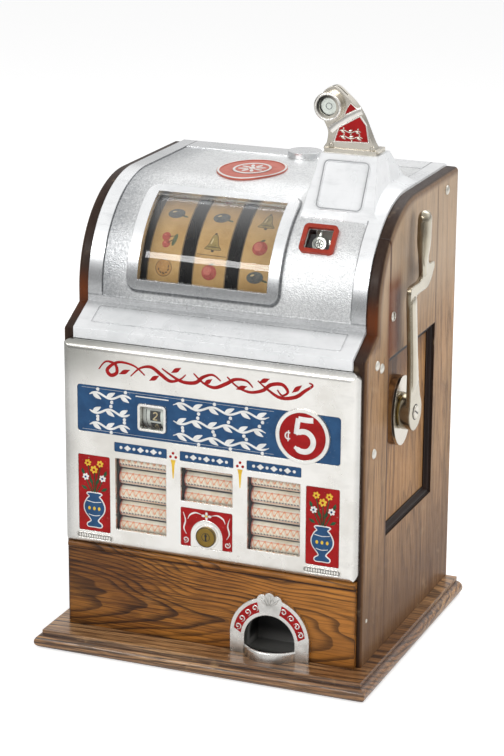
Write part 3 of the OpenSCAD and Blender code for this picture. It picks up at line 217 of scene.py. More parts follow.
baseLook = dict(
    pith=0.02, heart=0.4, sway=0.05, rings=200.0, taper=8.0, wander=5.0, ringDepth=0.9, thread=0.85, fleck=0.8,
    pale="#e0ae78", middle="#a07044", dark="#2a1205", pore="#1b0a02", worn="#c09a6c", stainAndShade="#30170a",
    wear=0.6, rough=0.24, coat=0.4, sheen=0.5, upperSheen=0.0, warm=0.0, low=0.1, lowTo=0.08, curve=0.0, edge=0.15,
    # rims: a painted shadow along the bottom edge at z 0
    rims=[("z", 0.0165, 0.003, 0.7), ("z", 0.0, 0.006, 0.8)])
# near-black oak of the panel mouldings: dark stain, and painted shade of the recess walls
darkLook = {
    **sideLook, "ringDepth": 0.5, "pale": "#24120a", "middle": "#160b05", "dark": "#0b0502", "pore": "#060301",
    "worn": "#4a2c18", "wear": 0.15, "rough": 0.3, "coat": 0.06, "sheen": 0.12, "upperSheen": 0.0, "low": 0.0,
    "edge": 0.0, "curve": 0.0, "rims": []}
oakUpright = oakFinish("oak_upright", "z", "x", sideLook)
oakPanel = oakFinish("oak_panel", "z", "x", panelLook)
oakAcross = oakFinish("oak_across", "z", "x", {**sideLook, "pith": -0.04, "heart": 0.5})
oakApron = oakFinish("oak_apron", "x", "y", apronLook)
oakBack = oakFinish("oak_back", "z", "y", {**sideLook, "pith": 0.05, "heart": 0.5, "curve": 0.0})
oakBase = oakFinish("oak_base", "x", "z", baseLook)
oakDark = oakFinish("oak_dark_stain_and_shade", "z", "x", darkLook)


def metalFinish(name, colour, dark, rough, scratch=0.35, darkening=0.4, edge=0.0008, metal=1.0, flank=None):
    material, start, spot = newFinish(name)
    patches = spot.noise(24.0, 4.0, 0.6)
    lines = spot.stretch(1.0, 0.35, 0.12).noise(900.0, 1.0, 0.5)
    tone = (patches.ease(0.45, 0.75) * darkening).tint(colour, dark)
    if flank:  # painted reflection: faces that look forwards are tinted towards the flank colour, as if they mirrored the dark side of the room
        forwards = 0 - start.node("TexCoord", out=1).parts()[1]
        tone = (forwards.ease(0.4, 0.9) * 0.65).tint(tone, flank)
    normal = (spot.noise(420.0, 2.0, 0.6) * 0.4 + lines * scratch).bump(0.08, 0.0002, start.rounded(edge))
    return closeFinish(material, start, {"Base Color": tone, "Metallic": metal, "Normal": normal,
                                         "Roughness": rough + 0.12 * patches + 0.1 * lines * scratch})


def castFinish(name, look):  # bright casting with a stippled sunk field on the curved part
    material, start, spot = newFinish(name)
    axes = dict(zip("xyz", spot.parts()))
    x, y, z = axes.values()
    ahead, above = y - crown["y"] * mm, z - crown["z"] * mm
    sink = look["skin"] - slant(ahead.lowest(0.0), above.highest(0.0))
    strip = ((x.size() < look["fieldX"]) * z.near(look["ledgeZ"] + 0.005, 0.006).ease(0.0, 0.2)
             * (y.near(-0.0985, 0.0025) > 0.1))
    clear = (x < look["flank"][0]).highest(z < look["flank"][1])  # not on the tower's flank
    sunk = (sink.ease(0.0006, 0.0012) * (sink < 0.0035)).highest(strip)  # the stipple runs down to the ledge
    sunk = sunk * clear * look["stipple"]
    pebble = spot.cells(700.0)
    cloud = spot.noise(14.0, 4.0, 0.62)
    speck = spot.noise(340.0, 3.0, 0.75)
    grimeAndShade = spot.stretch(1.0, 3.0, 3.0).noise(30.0, 4.0, 0.65).ease(0.5, 0.8) * look["grimeAndShade"]
    for axis, value, width, share in look["darkening"]:  # painted shade and dirt in the creases and along the rounded edges
        grimeAndShade = grimeAndShade.highest(axes[axis].near(value, width) * share * (0.45 + 0.9 * speck))
    # painted shade, greyer on the upper left of the lower plate
    upperLeftShade = z.ease(0.32, 0.372) * (1 - x.ease(-0.17, -0.08)) * look["upperLeftShade"]
    rim = layered(look["bright"], (cloud.ease(0.38, 0.7), look["dull"]), (grimeAndShade, look["grimeAndShadeColour"]),
                  (upperLeftShade, look["upperLeftShadeColour"]))
    low = (1 - z.ease(0.432, 0.52)) * (1 - 0.8 * x.ease(0.03, 0.12))
    shade = (0.08 + 0.1 * low + 0.5 * (1 - x.ease(-0.16, -0.1))
             + (cloud - 0.5) * 0.6 + (speck - 0.5) * 1.5)
    deep = layered(look["fieldPale"], (shade, look["fieldDark"]),
                   ((1 - pebble.ease(0.15, 0.75)) * 0.3, look["grimeAndShadeColour"]))
    # painted shade and dirt in the grooves along the field's edges
    foot = x.size().near(look["fieldX"], 0.0014) * z.ease(0.43, 0.432) * (sink > -0.001) * look["stipple"]
    middle, wide, high, corner = look["frame"]  # painted shade and dirt round the foot of the raised frame too
    down = 0 - ahead * look["tilt"][0] - above * look["tilt"][1]
    outX = ((x - middle).size() - (wide - corner)).highest(0.0)
    outZ = (down.size() - (high - corner)).highest(0.0)
    foot = foot.highest(slant(outX, outZ).near(corner, 0.0026) * sunk)
    colour = layered(rim, (sunk, deep), (foot * (0.35 + 0.9 * speck), look["footColour"]))
    tower = x.ease(0.06, 0.07) * z.ease(0.53, 0.55) * 0.8
    flare = x.ease(0.12, 0.135) * z.ease(0.5, 0.52) * 0.85
    ledge = (1 - z.ease(0.42, 0.427)) * 0.75
    bare = tower.highest(flare).highest(ledge) * look["stipple"]  # brushed there, so these look whiter
    relief = sunk * pebble + spot.noise(260.0, 3.0, 0.6) * 0.025 * (1 - sunk)
    return closeFinish(material, start, {"Base Color": colour, "Metallic": 1 - bare,
                                         "Roughness": look["rough"] + 0.1 * cloud + sunk * 0.14,
                                         "Normal": relief.bump(0.4, 0.0007, start.rounded(0.0012))})


castLook = dict(fieldX=0.1565, ledgeZ=0.4265, skin=0.128, flank=(0.153, 0.53), tilt=(0.5736, 0.8192),
                frame=(-0.028, 0.0964, 0.0678, 0.0126), stipple=1.0, grimeAndShade=0.18, upperLeftShade=0.0, rough=0.22,
                bright="#eff0f1", dull="#dfe1e2", grimeAndShadeColour="#7c7e80", fieldPale="#e1e2e2", fieldDark="#83868a",
                footColour="#55575a", upperLeftShadeColour="#8f8f89", darkening=[("z", 0.4275, 0.004, 0.9), ("y", -0.1, 0.014, 0.6)])
castUpper = castFinish("cast_upper", castLook)
castLower = castFinish("cast_lower", {
    **castLook, "stipple": 0.0, "upperLeftShade": 0.75, "bright": "#f1efea", "dull": "#e2dfd8", "grimeAndShade": 0.12,
    # darkening: painted shade along the plate's rounded top, bottom and side edges
    "darkening": [("z", 0.384, 0.008, 0.6), ("z", 0.1305, 0.006, 0.6),
             ("x", -0.186, 0.03, 0.5), ("x", 0.186, 0.006, 0.4)]})


def cupFinish():  # bright plate and lip; painted shade inside the mouth, near black at the top and grey low down
    material, start, spot = newFinish("cup_metal")
    y, z = spot.parts()[1:]
    inside = y.ease(-0.1425, -0.126) * (1 - 0.5 * (1 - z.ease(0.03, 0.036)) * (1 - y.ease(-0.125, -0.105)))
    patches = spot.noise(40.0, 4.0, 0.6)
    stainAndShade = patches.ease(0.45, 0.75) * 0.5 + (1 - z.ease(0.024, 0.031)) * 0.6
    tone = layered("#e0dfdb", (stainAndShade, "#8f8d88"), (inside, z.ease(0.025, 0.042).tint("#6c6b69", "#0c0b0b")))
    normal = (spot.noise(500.0, 2.0, 0.6) * 0.4 + patches * 0.3).bump(0.1, 0.0003, start.rounded(0.0014))
    return closeFinish(material, start, {"Base Color": tone, "Metallic": 1 - 0.8 * inside, "Normal": normal,
                                         "Roughness": 0.2 + 0.14 * patches + 0.25 * inside})


whiteMetal = cupFinish()
nickelFinish = metalFinish("nickel", "#d6d0c4", "#98907f", 0.12, 0.3, 0.4)
# the lever's forward faces get a painted dark reflection
leverFinish = metalFinish("lever_nickel", "#c6bfae", "#948b79", 0.1, 0.35, 0.4, edge=0.0028, flank="#5e5038")
brassFinish = metalFinish("brass", "#9d8550", "#5b4827", 0.3)
boltFinish = metalFinish("bolt_nickel", "#e2dfd6", "#a8a294", 0.3, 0.3, 0.5)
steelFinish = metalFinish("steel", "#a7a49d", "#6f6c66", 0.34)
lineFinish = metalFinish("grey_line", "#a2a4a6", "#7b7d7f", 0.4)
ironFinish = metalFinish("grey_iron", "#5b5c5e", "#3a3a3b", 0.5)
blackFinish = metalFinish("black_paint", "#17181a", "#0b0b0c", 0.42, metal=0.0)
coinFinish = metalFinish("coin_metal", "#f2f0ea", "#c9c6bf", 0.22)
freshCoin = metalFinish("fresh_coin", "#fbfaf7", "#ebe9e4", 0.4, metal=0.0)
ringFinish = metalFinish("ring_nickel", "#efece6", "#b9b3a6", 0.16, 0.3, 0.3)
lockBrass = metalFinish("lock_brass", "#8d743b", "#43341a", 0.26, 0.4, 0.7)


def plateFinish():  # nickel plate on a wooden pad
    material, start, spot = newFinish("plate_nickel")
    pad = 1 - spot.parts()[0].ease(0.1904, 0.191)
    fibre = spot.stretch(150.0, 150.0, 6.0).noise(1.0, 3.0, 0.6)
    patches = spot.noise(24.0, 4.0, 0.6)
    tone = layered("#d6d0c4", (patches.ease(0.45, 0.75) * 0.4, "#98907f"),
                   (pad, fibre.ease(0.35, 0.65).tint("#94683c", "#5f3d20")))
    return closeFinish(material, start, {"Base Color": tone, "Metallic": 1 - pad,
                                         "Roughness": 0.14 + 0.1 * patches + 0.25 * pad,
                                         "Normal": patches.bump(0.05, 0.0002, start.rounded(0.0008))})


def coneFinish():  # inner wall of the coin ring, in its own shade at the upper left
    material, start, spot = newFinish("ring_cone")
    x, z = spot.parts()[::2]
    light = ((x - 0.09) * 0.8 - (z - 0.656) * 0.6).ease(-0.012, 0.012)
    return closeFinish(material, start, {"Base Color": light.tint("#1f1e1b", "#c4bfb3"), "Metallic": 0.4,
                                         "Roughness": 0.3, "Normal": start.rounded(0.0006)})


handlePlate = plateFinish()
ringCone = coneFinish()


def enamelFinish(name, colour, deep, chips=0.5):
    material, start, spot = newFinish(name)
    cloud = spot.noise(60.0, 3.0, 0.6)
    chip = spot.noise(330.0, 3.0, 0.7).ease(0.69, 0.73) * chips
    tone = layered(colour, (cloud.ease(0.3, 0.75), deep), (chip, "#c9c9c6"))
    normal = (spot.noise(500.0, 2.0, 0.5) * 0.5 - chip).bump(0.12, 0.0004, start.rounded(0.0004))
    return closeFinish(material, start, {"Base Color": tone, "Roughness": 0.32 + 0.16 * cloud + 0.2 * chip,
                                         "Metallic": chip * 0.8, "Normal": normal, "Specular IOR Level": 0.22})


redEnamel = enamelFinish("red_enamel", "#a81214", "#8f0808")
blueEnamel = enamelFinish("blue_enamel", "#2a527b", "#21446a")
yellowEnamel = enamelFinish("yellow_enamel", "#ecc648", "#d9ac2e")
greenEnamel = enamelFinish("green_enamel", "#2c5a3a", "#1f4229")
whiteEnamel = enamelFinish("white_enamel", "#f0efec", "#dddcd8", 0.2)
brickEnamel = enamelFinish("brick_enamel", "#ad4130", "#983224", 0.3)
badgeEnamel = enamelFinish("badge_enamel", "#cc7363", "#be6252", 0.3)
greyEnamel = enamelFinish("grey_enamel", "#a3a19b", "#85837d", 0.2)


def glassFinish(name, colour, haze=0.0):
    material, start, spot = newFinish(name)
    clear = start.node("BsdfTransparent", {}, {"Color": rgb(colour)})
    gloss = start.node("BsdfGlossy", {}, {"Color": rgb("#ffffff"), "Roughness": 0.02})
    inner = start.node("NewGeometry", out=6)  # the far side of the pane only lets light through
    share = start.node("Fresnel", {}, {"IOR": 1.5}) * (0.85 + spot.noise(18.0, 3.0, 0.6) * 0.3)
    share = (share + spot.parts()[2].ease(0.495, 0.548) * haze) * (1 - inner)  # dust and sky on the upper part
    start.node("OutputMaterial", {}, {"Surface": start.node("MixShader", {}, {0: share, 1: clear, 2: gloss})})
    return material


glassClear = glassFinish("clear_glass", "#fcfefd")
glassCurved = glassFinish("curved_glass", "#fcfefd", haze=0.15)


def paperFinish():  # aged card of the reel strips
    material, start, spot = newFinish("strip_paper")
    cloud = spot.noise(34.0, 4.0, 0.65)
    speck = spot.noise(700.0, 2.0, 0.6)
    along = ((spot.parts()[0] + 0.028 + 0.029) / 0.058).fract()  # 0.5 in the middle of each reel
    tone = layered("#cda26a", (cloud.ease(0.3, 0.72), "#b88c52"), (speck.ease(0.6, 0.75) * 0.4, "#8f6c41"),
                   ((along - 0.5).size().ease(0.325, 0.35) * 0.55, "#77583a"))
    return closeFinish(material, start, {"Base Color": tone, "Roughness": 0.55 + 0.2 * cloud,
                                         "Normal": (cloud + speck * 0.4).bump(0.1, 0.0003, start.rounded(0.0003))})


stripPaper = paperFinish()


def inkFinish(name, colour, deep):
    material, start, spot = newFinish(name)
    cloud = spot.noise(150.0, 3.0, 0.6)
    tone = layered(colour, (cloud.ease(0.3, 0.7), deep), (spot.cells(1500.0).ease(0.55, 0.75) * 0.3, "#c9a676"))
    return closeFinish(material, start, {"Base Color": tone, "Roughness": 0.5 + 0.15 * cloud,
                                         "Normal": cloud.bump(0.05, 0.0002, start.rounded(0.0002))})


inkColours = dict(plum=("#4d5358", "#383d44"), red=("#b8423c", "#992c2c"), pink=("#cf6d62", "#bd5850"),
                  gold=("#a58a4c", "#7f6832"), line=("#4a3722", "#36281a"), leaf=("#4c5b40", "#36452f"),
                  orange=("#c08a4a", "#a8733a"), lemon=("#c9ab4a", "#ad8c35"), pale=("#d9c39a", "#c8ad7d"))
inks = {name: inkFinish("ink_" + name, *colours) for name, colours in inkColours.items()}


def wrapperFinish():  # printed waxed paper of the mint rolls; u runs along a roll, v round it
    material, start, spot = newFinish("roll_wrapper")
    u, v = start.node("TexCoord", out=2).parts()[:2]
    crease = spot.stretch(1.0, 4.0, 4.0).noise(160.0, 3.0, 0.65)
    cloud = spot.noise(70.0, 2.0, 0.5)
    away = (v - 0.5).size()
    wave = u * 50.0
    vine = (v - 0.55 - wave.math("SINE", wave) * 0.05).size()
    twig = ((u * 16.0 + v * 9.0).fract() - 0.5).size().ease(0.22, 0.3) * (1 - away.ease(0.07, 0.08))
    dash = (u * 17.0).fract().ease(0.3, 0.4) * v.near(0.432, 0.03).ease(0.2, 0.6)
    tone = layered("#f3e9dc", (cloud.ease(0.3, 0.7), "#e6d6c2"),
                   ((1 - away.ease(0.1, 0.12)) * 0.22, "#ee9d66"),
                   (twig * 0.6, "#fff6ea"),
                   ((1 - vine.ease(0.017, 0.026)) * 0.75, "#ea8440"),  # a waved line between two straight ones
                   (away.near(0.105, 0.012) * 0.85, "#d8512f"),
                   (dash * 0.85, "#2b3050"),
                   # navy round the top and bottom of each roll: painted shade in the gaps between the rolls
                   (away.ease(0.19, 0.215) * 0.92, "#2c3352"),
                   ((u - 0.5).size().ease(0.455, 0.47) * 0.8, "#c33a2a"))
    return closeFinish(material, start, {"Base Color": tone, "Roughness": 0.34 + 0.2 * crease,
                                         "Normal": crease.bump(0.3, 0.0007, start.rounded(0.0003)),
                                         "Coat Weight": 0.2 * cloud})


wrapperPaper = wrapperFinish()
print("finishes made:", len(bpy.data.materials))


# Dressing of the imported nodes

finishOf = {
    oakUpright: "right_front_stile right_rear_stile left_front_stile left_rear_stile",
    oakPanel: "right_panel left_panel",
    oakBack: "back_door",
    oakAcross: "right_top_rail right_bottom_rail left_top_rail left_bottom_rail",
    oakApron: "front_apron back_sill back_head",
    oakBase: "base_board",
    castUpper: "upper_casting",
    castLower: "lower_casting",
    whiteMetal: "payout_cup",
    handlePlate: "handle_plate",
    nickelFinish: "coin_head indicator_bracket",
    leverFinish: "handle_lever",
    lockBrass: "lock_barrel lock_plug",
    brassFinish: "handle_bush hinge_leaves door_leaves door_latch",
    steelFinish: "handle_shaft tie_rods reel_shaft stop_shaft stop_levers return_spring coin_chute payout_slides "
                 "coin_tube vend_shelf clock_fan",
    ironFinish: "mech_table left_frame right_frame handle_crank mint_columns",
    blackFinish: "reel_1 reel_2 reel_3 cash_box",
    stripPaper: "reel_strip_1 reel_strip_2 reel_strip_3",
    glassCurved: "reel_glass",
    glassClear: "coin_window_glass window_panes coin_head_lens",
    brickEnamel: "coin_window_bezel",
    badgeEnamel: "badge",
    freshCoin: "coin",
    whiteEnamel: "indicator_wheel",
}
for finish, names in finishOf.items():
    for name in names.split():
        slots = nodes[name].data.materials
        slots.clear()
        slots.append(finish)
print("nodes dressed")


# Mesh tools: shapes are drawn in millimetres on a sheet, and a place function sets the sheet on the object

def addObject(name, data):
    made = bpy.data.objects.new(name, data)
    scene.collection.objects.link(made)
    return made


def addPiece(name, bm, finishes, body, smooth=True):
    mesh = bpy.data.meshes.new(name)
    bmesh.ops.recalc_face_normals(bm, faces=bm.faces[:])
    for face in bm.faces:
        face.smooth = smooth
    bm.to_mesh(mesh)
    bm.free()
    for finish in finishes:
        mesh.materials.append(finish)
    piece = addObject(name, mesh)
    if smooth:
        mesh.set_sharp_from_angle(angle=math.radians(38))
    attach(piece, body)
    return piece


def onFront(level):  # the casting's face, seen from the front
    return lambda u, v, h: (u * mm, (level - h) * mm, v * mm)


def onRight(level, side=1):  # a side board; u runs to the back
    return lambda u, v, h: (side * (level + h) * mm, u * mm, v * mm)


def onBack(level):
    return lambda u, v, h: (-u * mm, (level + h) * mm, v * mm)


def onSkin(radius):  # the curved top: v is the way along the skin from the crown's highest line, positive to the back
    def spot(u, v, h):
        r, a = radius + h, -min(v, 0.0) / radius
        y, z = crown["y"] + max(v, 0.0) - r * math.sin(a), crown["z"] + r * math.cos(a)
        return u * mm, y * mm, z * mm
    return spot


def onDrum(middle, radius, axisY, axisZ):  # v is the angle in degrees from +Y round to -Y over the top
    def spot(u, v, h):
        y, z = polar(axisY, axisZ, v, radius + h)
        return (middle + u) * mm, y * mm, z * mm
    return spot


def onDrumSheet(drum, radius, base):  # a sheet bent round the drum, with its middle at the angle base
    return lambda u, v, h: drum(u, base - v * math.degrees(1 / radius), h)


def onSlope(x, y, z, turn):  # a leaning sheet: v runs up it, h stands off it
    def spot(u, v, h):
        p, q = turned(v, h, turn)
        return (x + u) * mm, (y + p) * mm, (z + q) * mm
    return spot


def turned(p, q, angle):  # a point turned about the origin
    c, s = math.cos(math.radians(angle)), math.sin(math.radians(angle))
    return p * c - q * s, p * s + q * c


def polar(cu, cv, angle, ru, rv=None):  # a point on a circle or an ellipse
    a = math.radians(angle)
    return cu + ru * math.cos(a), cv + (ru if rv is None else rv) * math.sin(a)


def ring(cu, cv, ru, rv=None, count=40, turn=0.0):
    pts = []
    for k in range(count):
        u, v = turned(*polar(0.0, 0.0, 360 * k / count, ru, rv), turn)
        pts.append((cu + u, cv + v))
    return pts


def roundBox(u0, u1, v0, v1, r, steps=5):
    corners = ((u1 - r, v1 - r, 0), (u0 + r, v1 - r, 90), (u0 + r, v0 + r, 180), (u1 - r, v0 + r, 270))
    return [polar(cu, cv, first + 90 * k / steps, r) for cu, cv, first in corners for k in range(steps + 1)]


def straight(u0, v0, u1, v1, steps):
    return [(u0 + (u1 - u0) * k / steps, v0 + (v1 - v0) * k / steps) for k in range(steps + 1)]


def spiral(cu, cv, first, last, angle, turns, count=30):  # from the outside in
    shares = [k / (count - 1) for k in range(count)]
    return [polar(cu, cv, angle + 360 * turns * t, first + (last - first) * t) for t in shares]


def smoothPath(points, steps=8, closed=False):  # runs through the points
    n = len(points)
    out = []
    for i in range(n if closed else n - 1):
        near = [(i + k) % n if closed else min(max(i + k, 0), n - 1) for k in (-1, 0, 1, 2)]
        a, b, c, d = (Vector(points[k]) for k in near)
        for k in range(steps):
            t = k / steps
            q = 0.5 * ((2 * b) + (c - a) * t + (2 * a - 5 * b + 4 * c - d) * t * t + (3 * b - a - 3 * c + d) * t ** 3)
            out.append(tuple(q))
    return out if closed else out + [tuple(points[-1])]


def inset(pts, amount):  # moves a closed outline inwards
    n = len(pts)
    area = sum(a[0] * b[1] - b[0] * a[1] for a, b in zip(pts, pts[1:] + pts[:1]))
    flip = 1 if area > 0 else -1
    out = []
    for k in range(n):
        a, b, c = Vector(pts[k - 1]), Vector(pts[k]), Vector(pts[(k + 1) % n])
        before, after = (b - a).normalized(), (c - b).normalized()
        normal = Vector((-(before.y + after.y), before.x + after.x)) * flip
        if min((b - a).length, (c - b).length) < 1e-9 or normal.length < 1e-6:
            out.append(tuple(b))
            continue
        normal.normalize()
        lean = max(0.45, normal.dot(Vector((-before.y, before.x)) * flip))
        out.append(tuple(b + normal * (amount / lean)))
    return out


def stitch(bm, rows, paint=0, closed=True):  # faces between neighbouring rows of points
    for a, b in zip(rows, rows[1:]):
        n = len(a)
        for i in range(n if closed else n - 1):
            bm.faces.new((a[i], a[(i + 1) % n], b[(i + 1) % n], b[i])).material_index = paint


def caps(bm, rows, paint=0):  # faces on the first and last rows
    for row in (rows[0], rows[-1]):
        bm.faces.new(row).material_index = paint


def raised(bm, place, outline, high, paint=0, low=0.0, soft=0.25, holes=()):  # a plate with softened edges
    soft = min(soft, high - low)
    tops = []
    for k, loop in enumerate([list(outline)] + [hole[::-1] for hole in holes]):
        inner = inset(loop, -soft if k else soft)
        levels = ((loop, low), (loop, high - soft), (inner, high))
        rows = [[bm.verts.new(place(u, v, h)) for u, v in pts] for pts, h in levels]
        stitch(bm, rows, paint)
        tops.append((inner, rows[-1]))
    verts = [vert for inner, row in tops for vert in row]
    for corners in tessellate_polygon([[Vector((u, v, 0)) for u, v in inner] for inner, row in tops]):
        if len(set(corners)) == 3:
            try:
                bm.faces.new([verts[i] for i in corners]).material_index = paint
            except ValueError:  # the face is there already
                pass


domeSection = [(-1, 0.0), (-0.92, 0.55), (-0.5, 0.92), (0, 1.0), (0.5, 0.92), (0.92, 0.55), (1, 0.0)]


def stroke(bm, place, path, width, high, paint=0, low=0.0):  # a domed line; width and height may change on the way
    last = len(path) - 1
    rows = []
    for k, point in enumerate(path):
        ahead = Vector(path[min(k + 1, last)]) - Vector(path[max(k - 1, 0)])
        if ahead.length < 1e-9:
            ahead = Vector((1, 0))
        ahead.normalize()
        side = Vector((-ahead.y, ahead.x))
        half = (width(k / last) if callable(width) else width) / 2
        top = high(k / last) if callable(high) else high
        row = []
        for share, lift in domeSection:
            q = Vector(point) + side * half * share
            row.append(bm.verts.new(place(q.x, q.y, low + (top - low) * lift)))
        rows.append(row)
    stitch(bm, rows, paint, closed=False)
    caps(bm, rows, paint)


def hoop(bm, place, outline, width, high, paint=0, low=0.0):  # a domed line round a closed outline
    stroke(bm, place, outline + outline[:1], width, high, paint, low)


def leaf(bm, place, u, v, turn, length, width, high, paint, low=0.0):  # a straight leaf about its middle
    stroke(bm, place, [polar(u, v, turn, length * (k / 8 - 0.5)) for k in range(9)], width, high, paint, low)


def taper(full, ends=0.25, start=0.2):  # pen line that thins at both ends
    return lambda t: full * max(ends, min(1.0, t / start, (1 - t) / start))


def swell(thin, full):  # pen line, widest halfway
    return lambda t: thin + (full - thin) * math.sin(math.pi * t) ** 1.5


def fadeEnds(full, ends):  # height that falls off at both ends
    return lambda t: full * math.sqrt(max(0.02, min(1.0, t / ends, (1 - t) / ends)))


def tube(bm, place, path, shape, count=24):  # closed rod; shape gives its half width and half height on the way
    last = len(path) - 1
    turns = [2 * math.pi * i / count for i in range(count)]
    rows = []
    for k, (u, v) in enumerate(path):
        ahead = (Vector(path[min(k + 1, last)]) - Vector(path[max(k - 1, 0)])).normalized()
        half, high = shape(k / last)
        rows.append([bm.verts.new(place(u - ahead.y * half * math.cos(a), v + ahead.x * half * math.cos(a),
                                        high * math.sin(a))) for a in turns])
    stitch(bm, rows)
    caps(bm, rows)


def lathe(bm, place, profile, count=24, paint=0, cu=0.0, cv=0.0):  # profile of radius and height round a sheet point
    rows = [[bm.verts.new(place(*polar(cu, cv, 360 * k / count, r), h)) for k in range(count)] for r, h in profile]
    stitch(bm, rows, paint)
    caps(bm, rows[::-1], paint)


def slottedScrew(bm, place, u, v, r, turn=20.0, paint=0, high=1.0):
    lathe(bm, place, [(r, 0.0), (r, 0.25 * r * high), (0.97 * r, 0.3 * r * high)], 24, paint, u, v)
    for side in (0, 180):  # a half of the head on each side of the slot
        half = []
        for k in range(17):
            p, q = polar(0.0, 0.0, -80 + 160 * k / 16, 0.93 * r)
            p, q = turned(max(p, 0.13 * r), q, turn + side)
            half.append((u + p, v + q))
        raised(bm, place, half, 0.5 * r * high, paint, 0.28 * r * high, 0.18 * r * high)


boltDome = [(1.0, 0.0), (1.0, 0.08), (0.94, 0.2), (0.78, 0.32), (0.5, 0.42), (0.2, 0.46)]


def domedBolt(bm, place, u, v, r, paint=0):
    lathe(bm, place, [(r * wide, r * high) for wide, high in boltDome], 28, paint, u, v)


# Side boards: moulding round each sunk panel, and screws

sideTrim = dict(y0=-57.0, y1=109.5, z0=160.0, z1=378.5, panel=182.0, board=190.0,
                section=[(0, 0), (0, 6.6), (1.8, 6.6), (2.2, 5.4), (3.6, 5.2), (5.0, 4.6), (6.6, 3.2), (7.6, 1.9),
                         (8.2, 1.6), (9.4, 1.3), (9.4, 0)],
                bolts=[(143, 535.5), (-47, 426.6), (-99.5, 381.7), (-83.7, 374.2), (-105.4, 277.5)], bolt=6.0,
                nail=(-119.7, 75.7, 2.6))
for side, tag in ((1, "right"), (-1, "left")):
    bm = bmesh.new()
    plane = onRight(sideTrim["panel"], side)
    rows = []
    for t, h in sideTrim["section"]:
        y0, y1, z0, z1 = sideTrim["y0"] + t, sideTrim["y1"] - t, sideTrim["z0"] + t, sideTrim["z1"] - t
        rows.append([bm.verts.new(plane(u, v, h)) for u, v in ((y0, z0), (y1, z0), (y1, z1), (y0, z1))])
    stitch(bm, rows + rows[:1])
    addPiece(tag + "_panel_moulding", bm, [oakDark], "cabinet", smooth=False)
    bm = bmesh.new()
    plane = onRight(sideTrim["board"], side)
    for u, v in sideTrim["bolts"]:
        domedBolt(bm, plane, u, v, sideTrim["bolt"])
    domedBolt(bm, plane, *sideTrim["nail"])
    addPiece(tag + "_board_bolts", bm, [boltFinish], "cabinet")
print("side trim made")


# Lower casting: enamel in the sunk places, raised lines and leaves

front = dict(level=-150.0, floor=-149.0, fill=0.55, line=1.3, gap=0.15)
sunk = onFront(front["floor"])
flat = onFront(front["level"])
fieldPaints = [blueEnamel, redEnamel, whiteEnamel, yellowEnamel, greenEnamel, castLower, greyEnamel]
blue, red, white, yellow, green, metal, grey = range(7)
bm = bmesh.new()


def fill(outline, paint, holes=()):  # enamel lying in a sunk place
    raised(bm, sunk, outline, front["fill"], paint, -0.02, 0.2, holes)


def pocket(u0, u1, v0, v1, r):  # outline of a sunk place, a little inside its walls
    gap = front["gap"]
    return roundBox(u0 + gap, u1 - gap, v0 + gap, v1 - gap, r)


def relief(outline, paint, lift=0.0, soft=0.4):  # a motif standing in the enamel
    raised(bm, sunk, outline, front["line"] + lift, paint, 0.0, soft)


def drawn(path, width, paint, lift=0.0):  # a line standing in the enamel
    stroke(bm, sunk, path, width, front["line"] + lift, paint)


def garland(bm, place, u0, u1, v, size, paint, high, flip=1):  # a waved stem with a leaf and a berry in each bend
    count = max(2, round((u1 - u0) / (size * 1.7)))
    step = (u1 - u0) / count
    points = count * 10
    stem = [(u0 + (u1 - u0) * k / points, v + flip * 0.26 * size * math.sin(math.pi * k / 10))
            for k in range(points + 1)]
    stroke(bm, place, stem, taper(size * 0.25, 0.4, 0.05), high, paint)
    for k in range(count):
        mid = u0 + step * (k + 0.5)
        up = flip * (1 if k % 2 == 0 else -1)
        blade = [(mid - 0.28 * step, v + up * 0.16 * size), (mid - 0.02 * step, v - up * 0.10 * size),
                 (mid + 0.34 * step, v - up * 0.42 * size)]
        stroke(bm, place, smoothPath(blade, 6), swell(size * 0.1, size * 0.52), high, paint)
        berry = ring(mid + 0.1 * step, v + up * 0.62 * size, 0.1 * size, count=10)
        hoop(bm, place, berry, size * 0.2, high, paint)


# blue band; the roundel's ring reaches past it, so the outline goes round the ring
band = dict(x=166.0, z0=273.5, z1=331.5, corner=4.0, pane=(-69.0, 300.5, 18.2, 16.7, 4.2),
            roundel=(120.0, 303.5), ring=33.3, disc=28.4, leafSize=11.5,
            leaves=[(-150, -96, 320.5, 1), (-42, 78, 320.5, 1), (-150, -98, 301.0, -1), (-42, 74, 301.0, -1),
                    (-150, -98, 283.0, 1), (-42, 78, 283.0, 1)],
            borders=(276.6, 328.4), dash=[(-90, 325.0), (-48, 325.0)])
paneX, paneZ, paneW, paneH, paneR = band["pane"]
paneHole = roundBox(paneX - paneW, paneX + paneW, paneZ - paneH, paneZ + paneH, paneR)
bandEdge = pocket(-band["x"], band["x"], band["z0"], band["z1"], band["corner"])
cx, cz = band["roundel"]
lowA, highA = (math.asin((z - cz) / band["ring"]) for z in (band["z0"] + front["gap"], band["z1"] - front["gap"]))


def bandArc(side, first, last):
    angles = [first + (last - first) * k / 30 for k in range(31)]
    return [(cx + side * band["ring"] * math.cos(a), cz + band["ring"] * math.sin(a)) for a in angles]


rightPart = [p for p in bandEdge if p[0] >= 0]
fill([p for p in bandEdge if p[0] < 0] + bandArc(-1, highA, lowA)[::-1], blue, [paneHole])
fill([p for p in rightPart if p[1] <= cz] + [p for p in rightPart if p[1] > cz] + bandArc(1, lowA, highA)[::-1], blue)
for u0, u1, v, flip in band["leaves"]:
    garland(bm, sunk, u0, u1, v, band["leafSize"], white, front["line"], flip)
drawn(band["dash"], 1.6, white)
for v in band["borders"]:
    stroke(bm, sunk, [(-160, v), (84, v)], taper(1.0, 0.3, 0.02), front["line"] * 0.8, white)

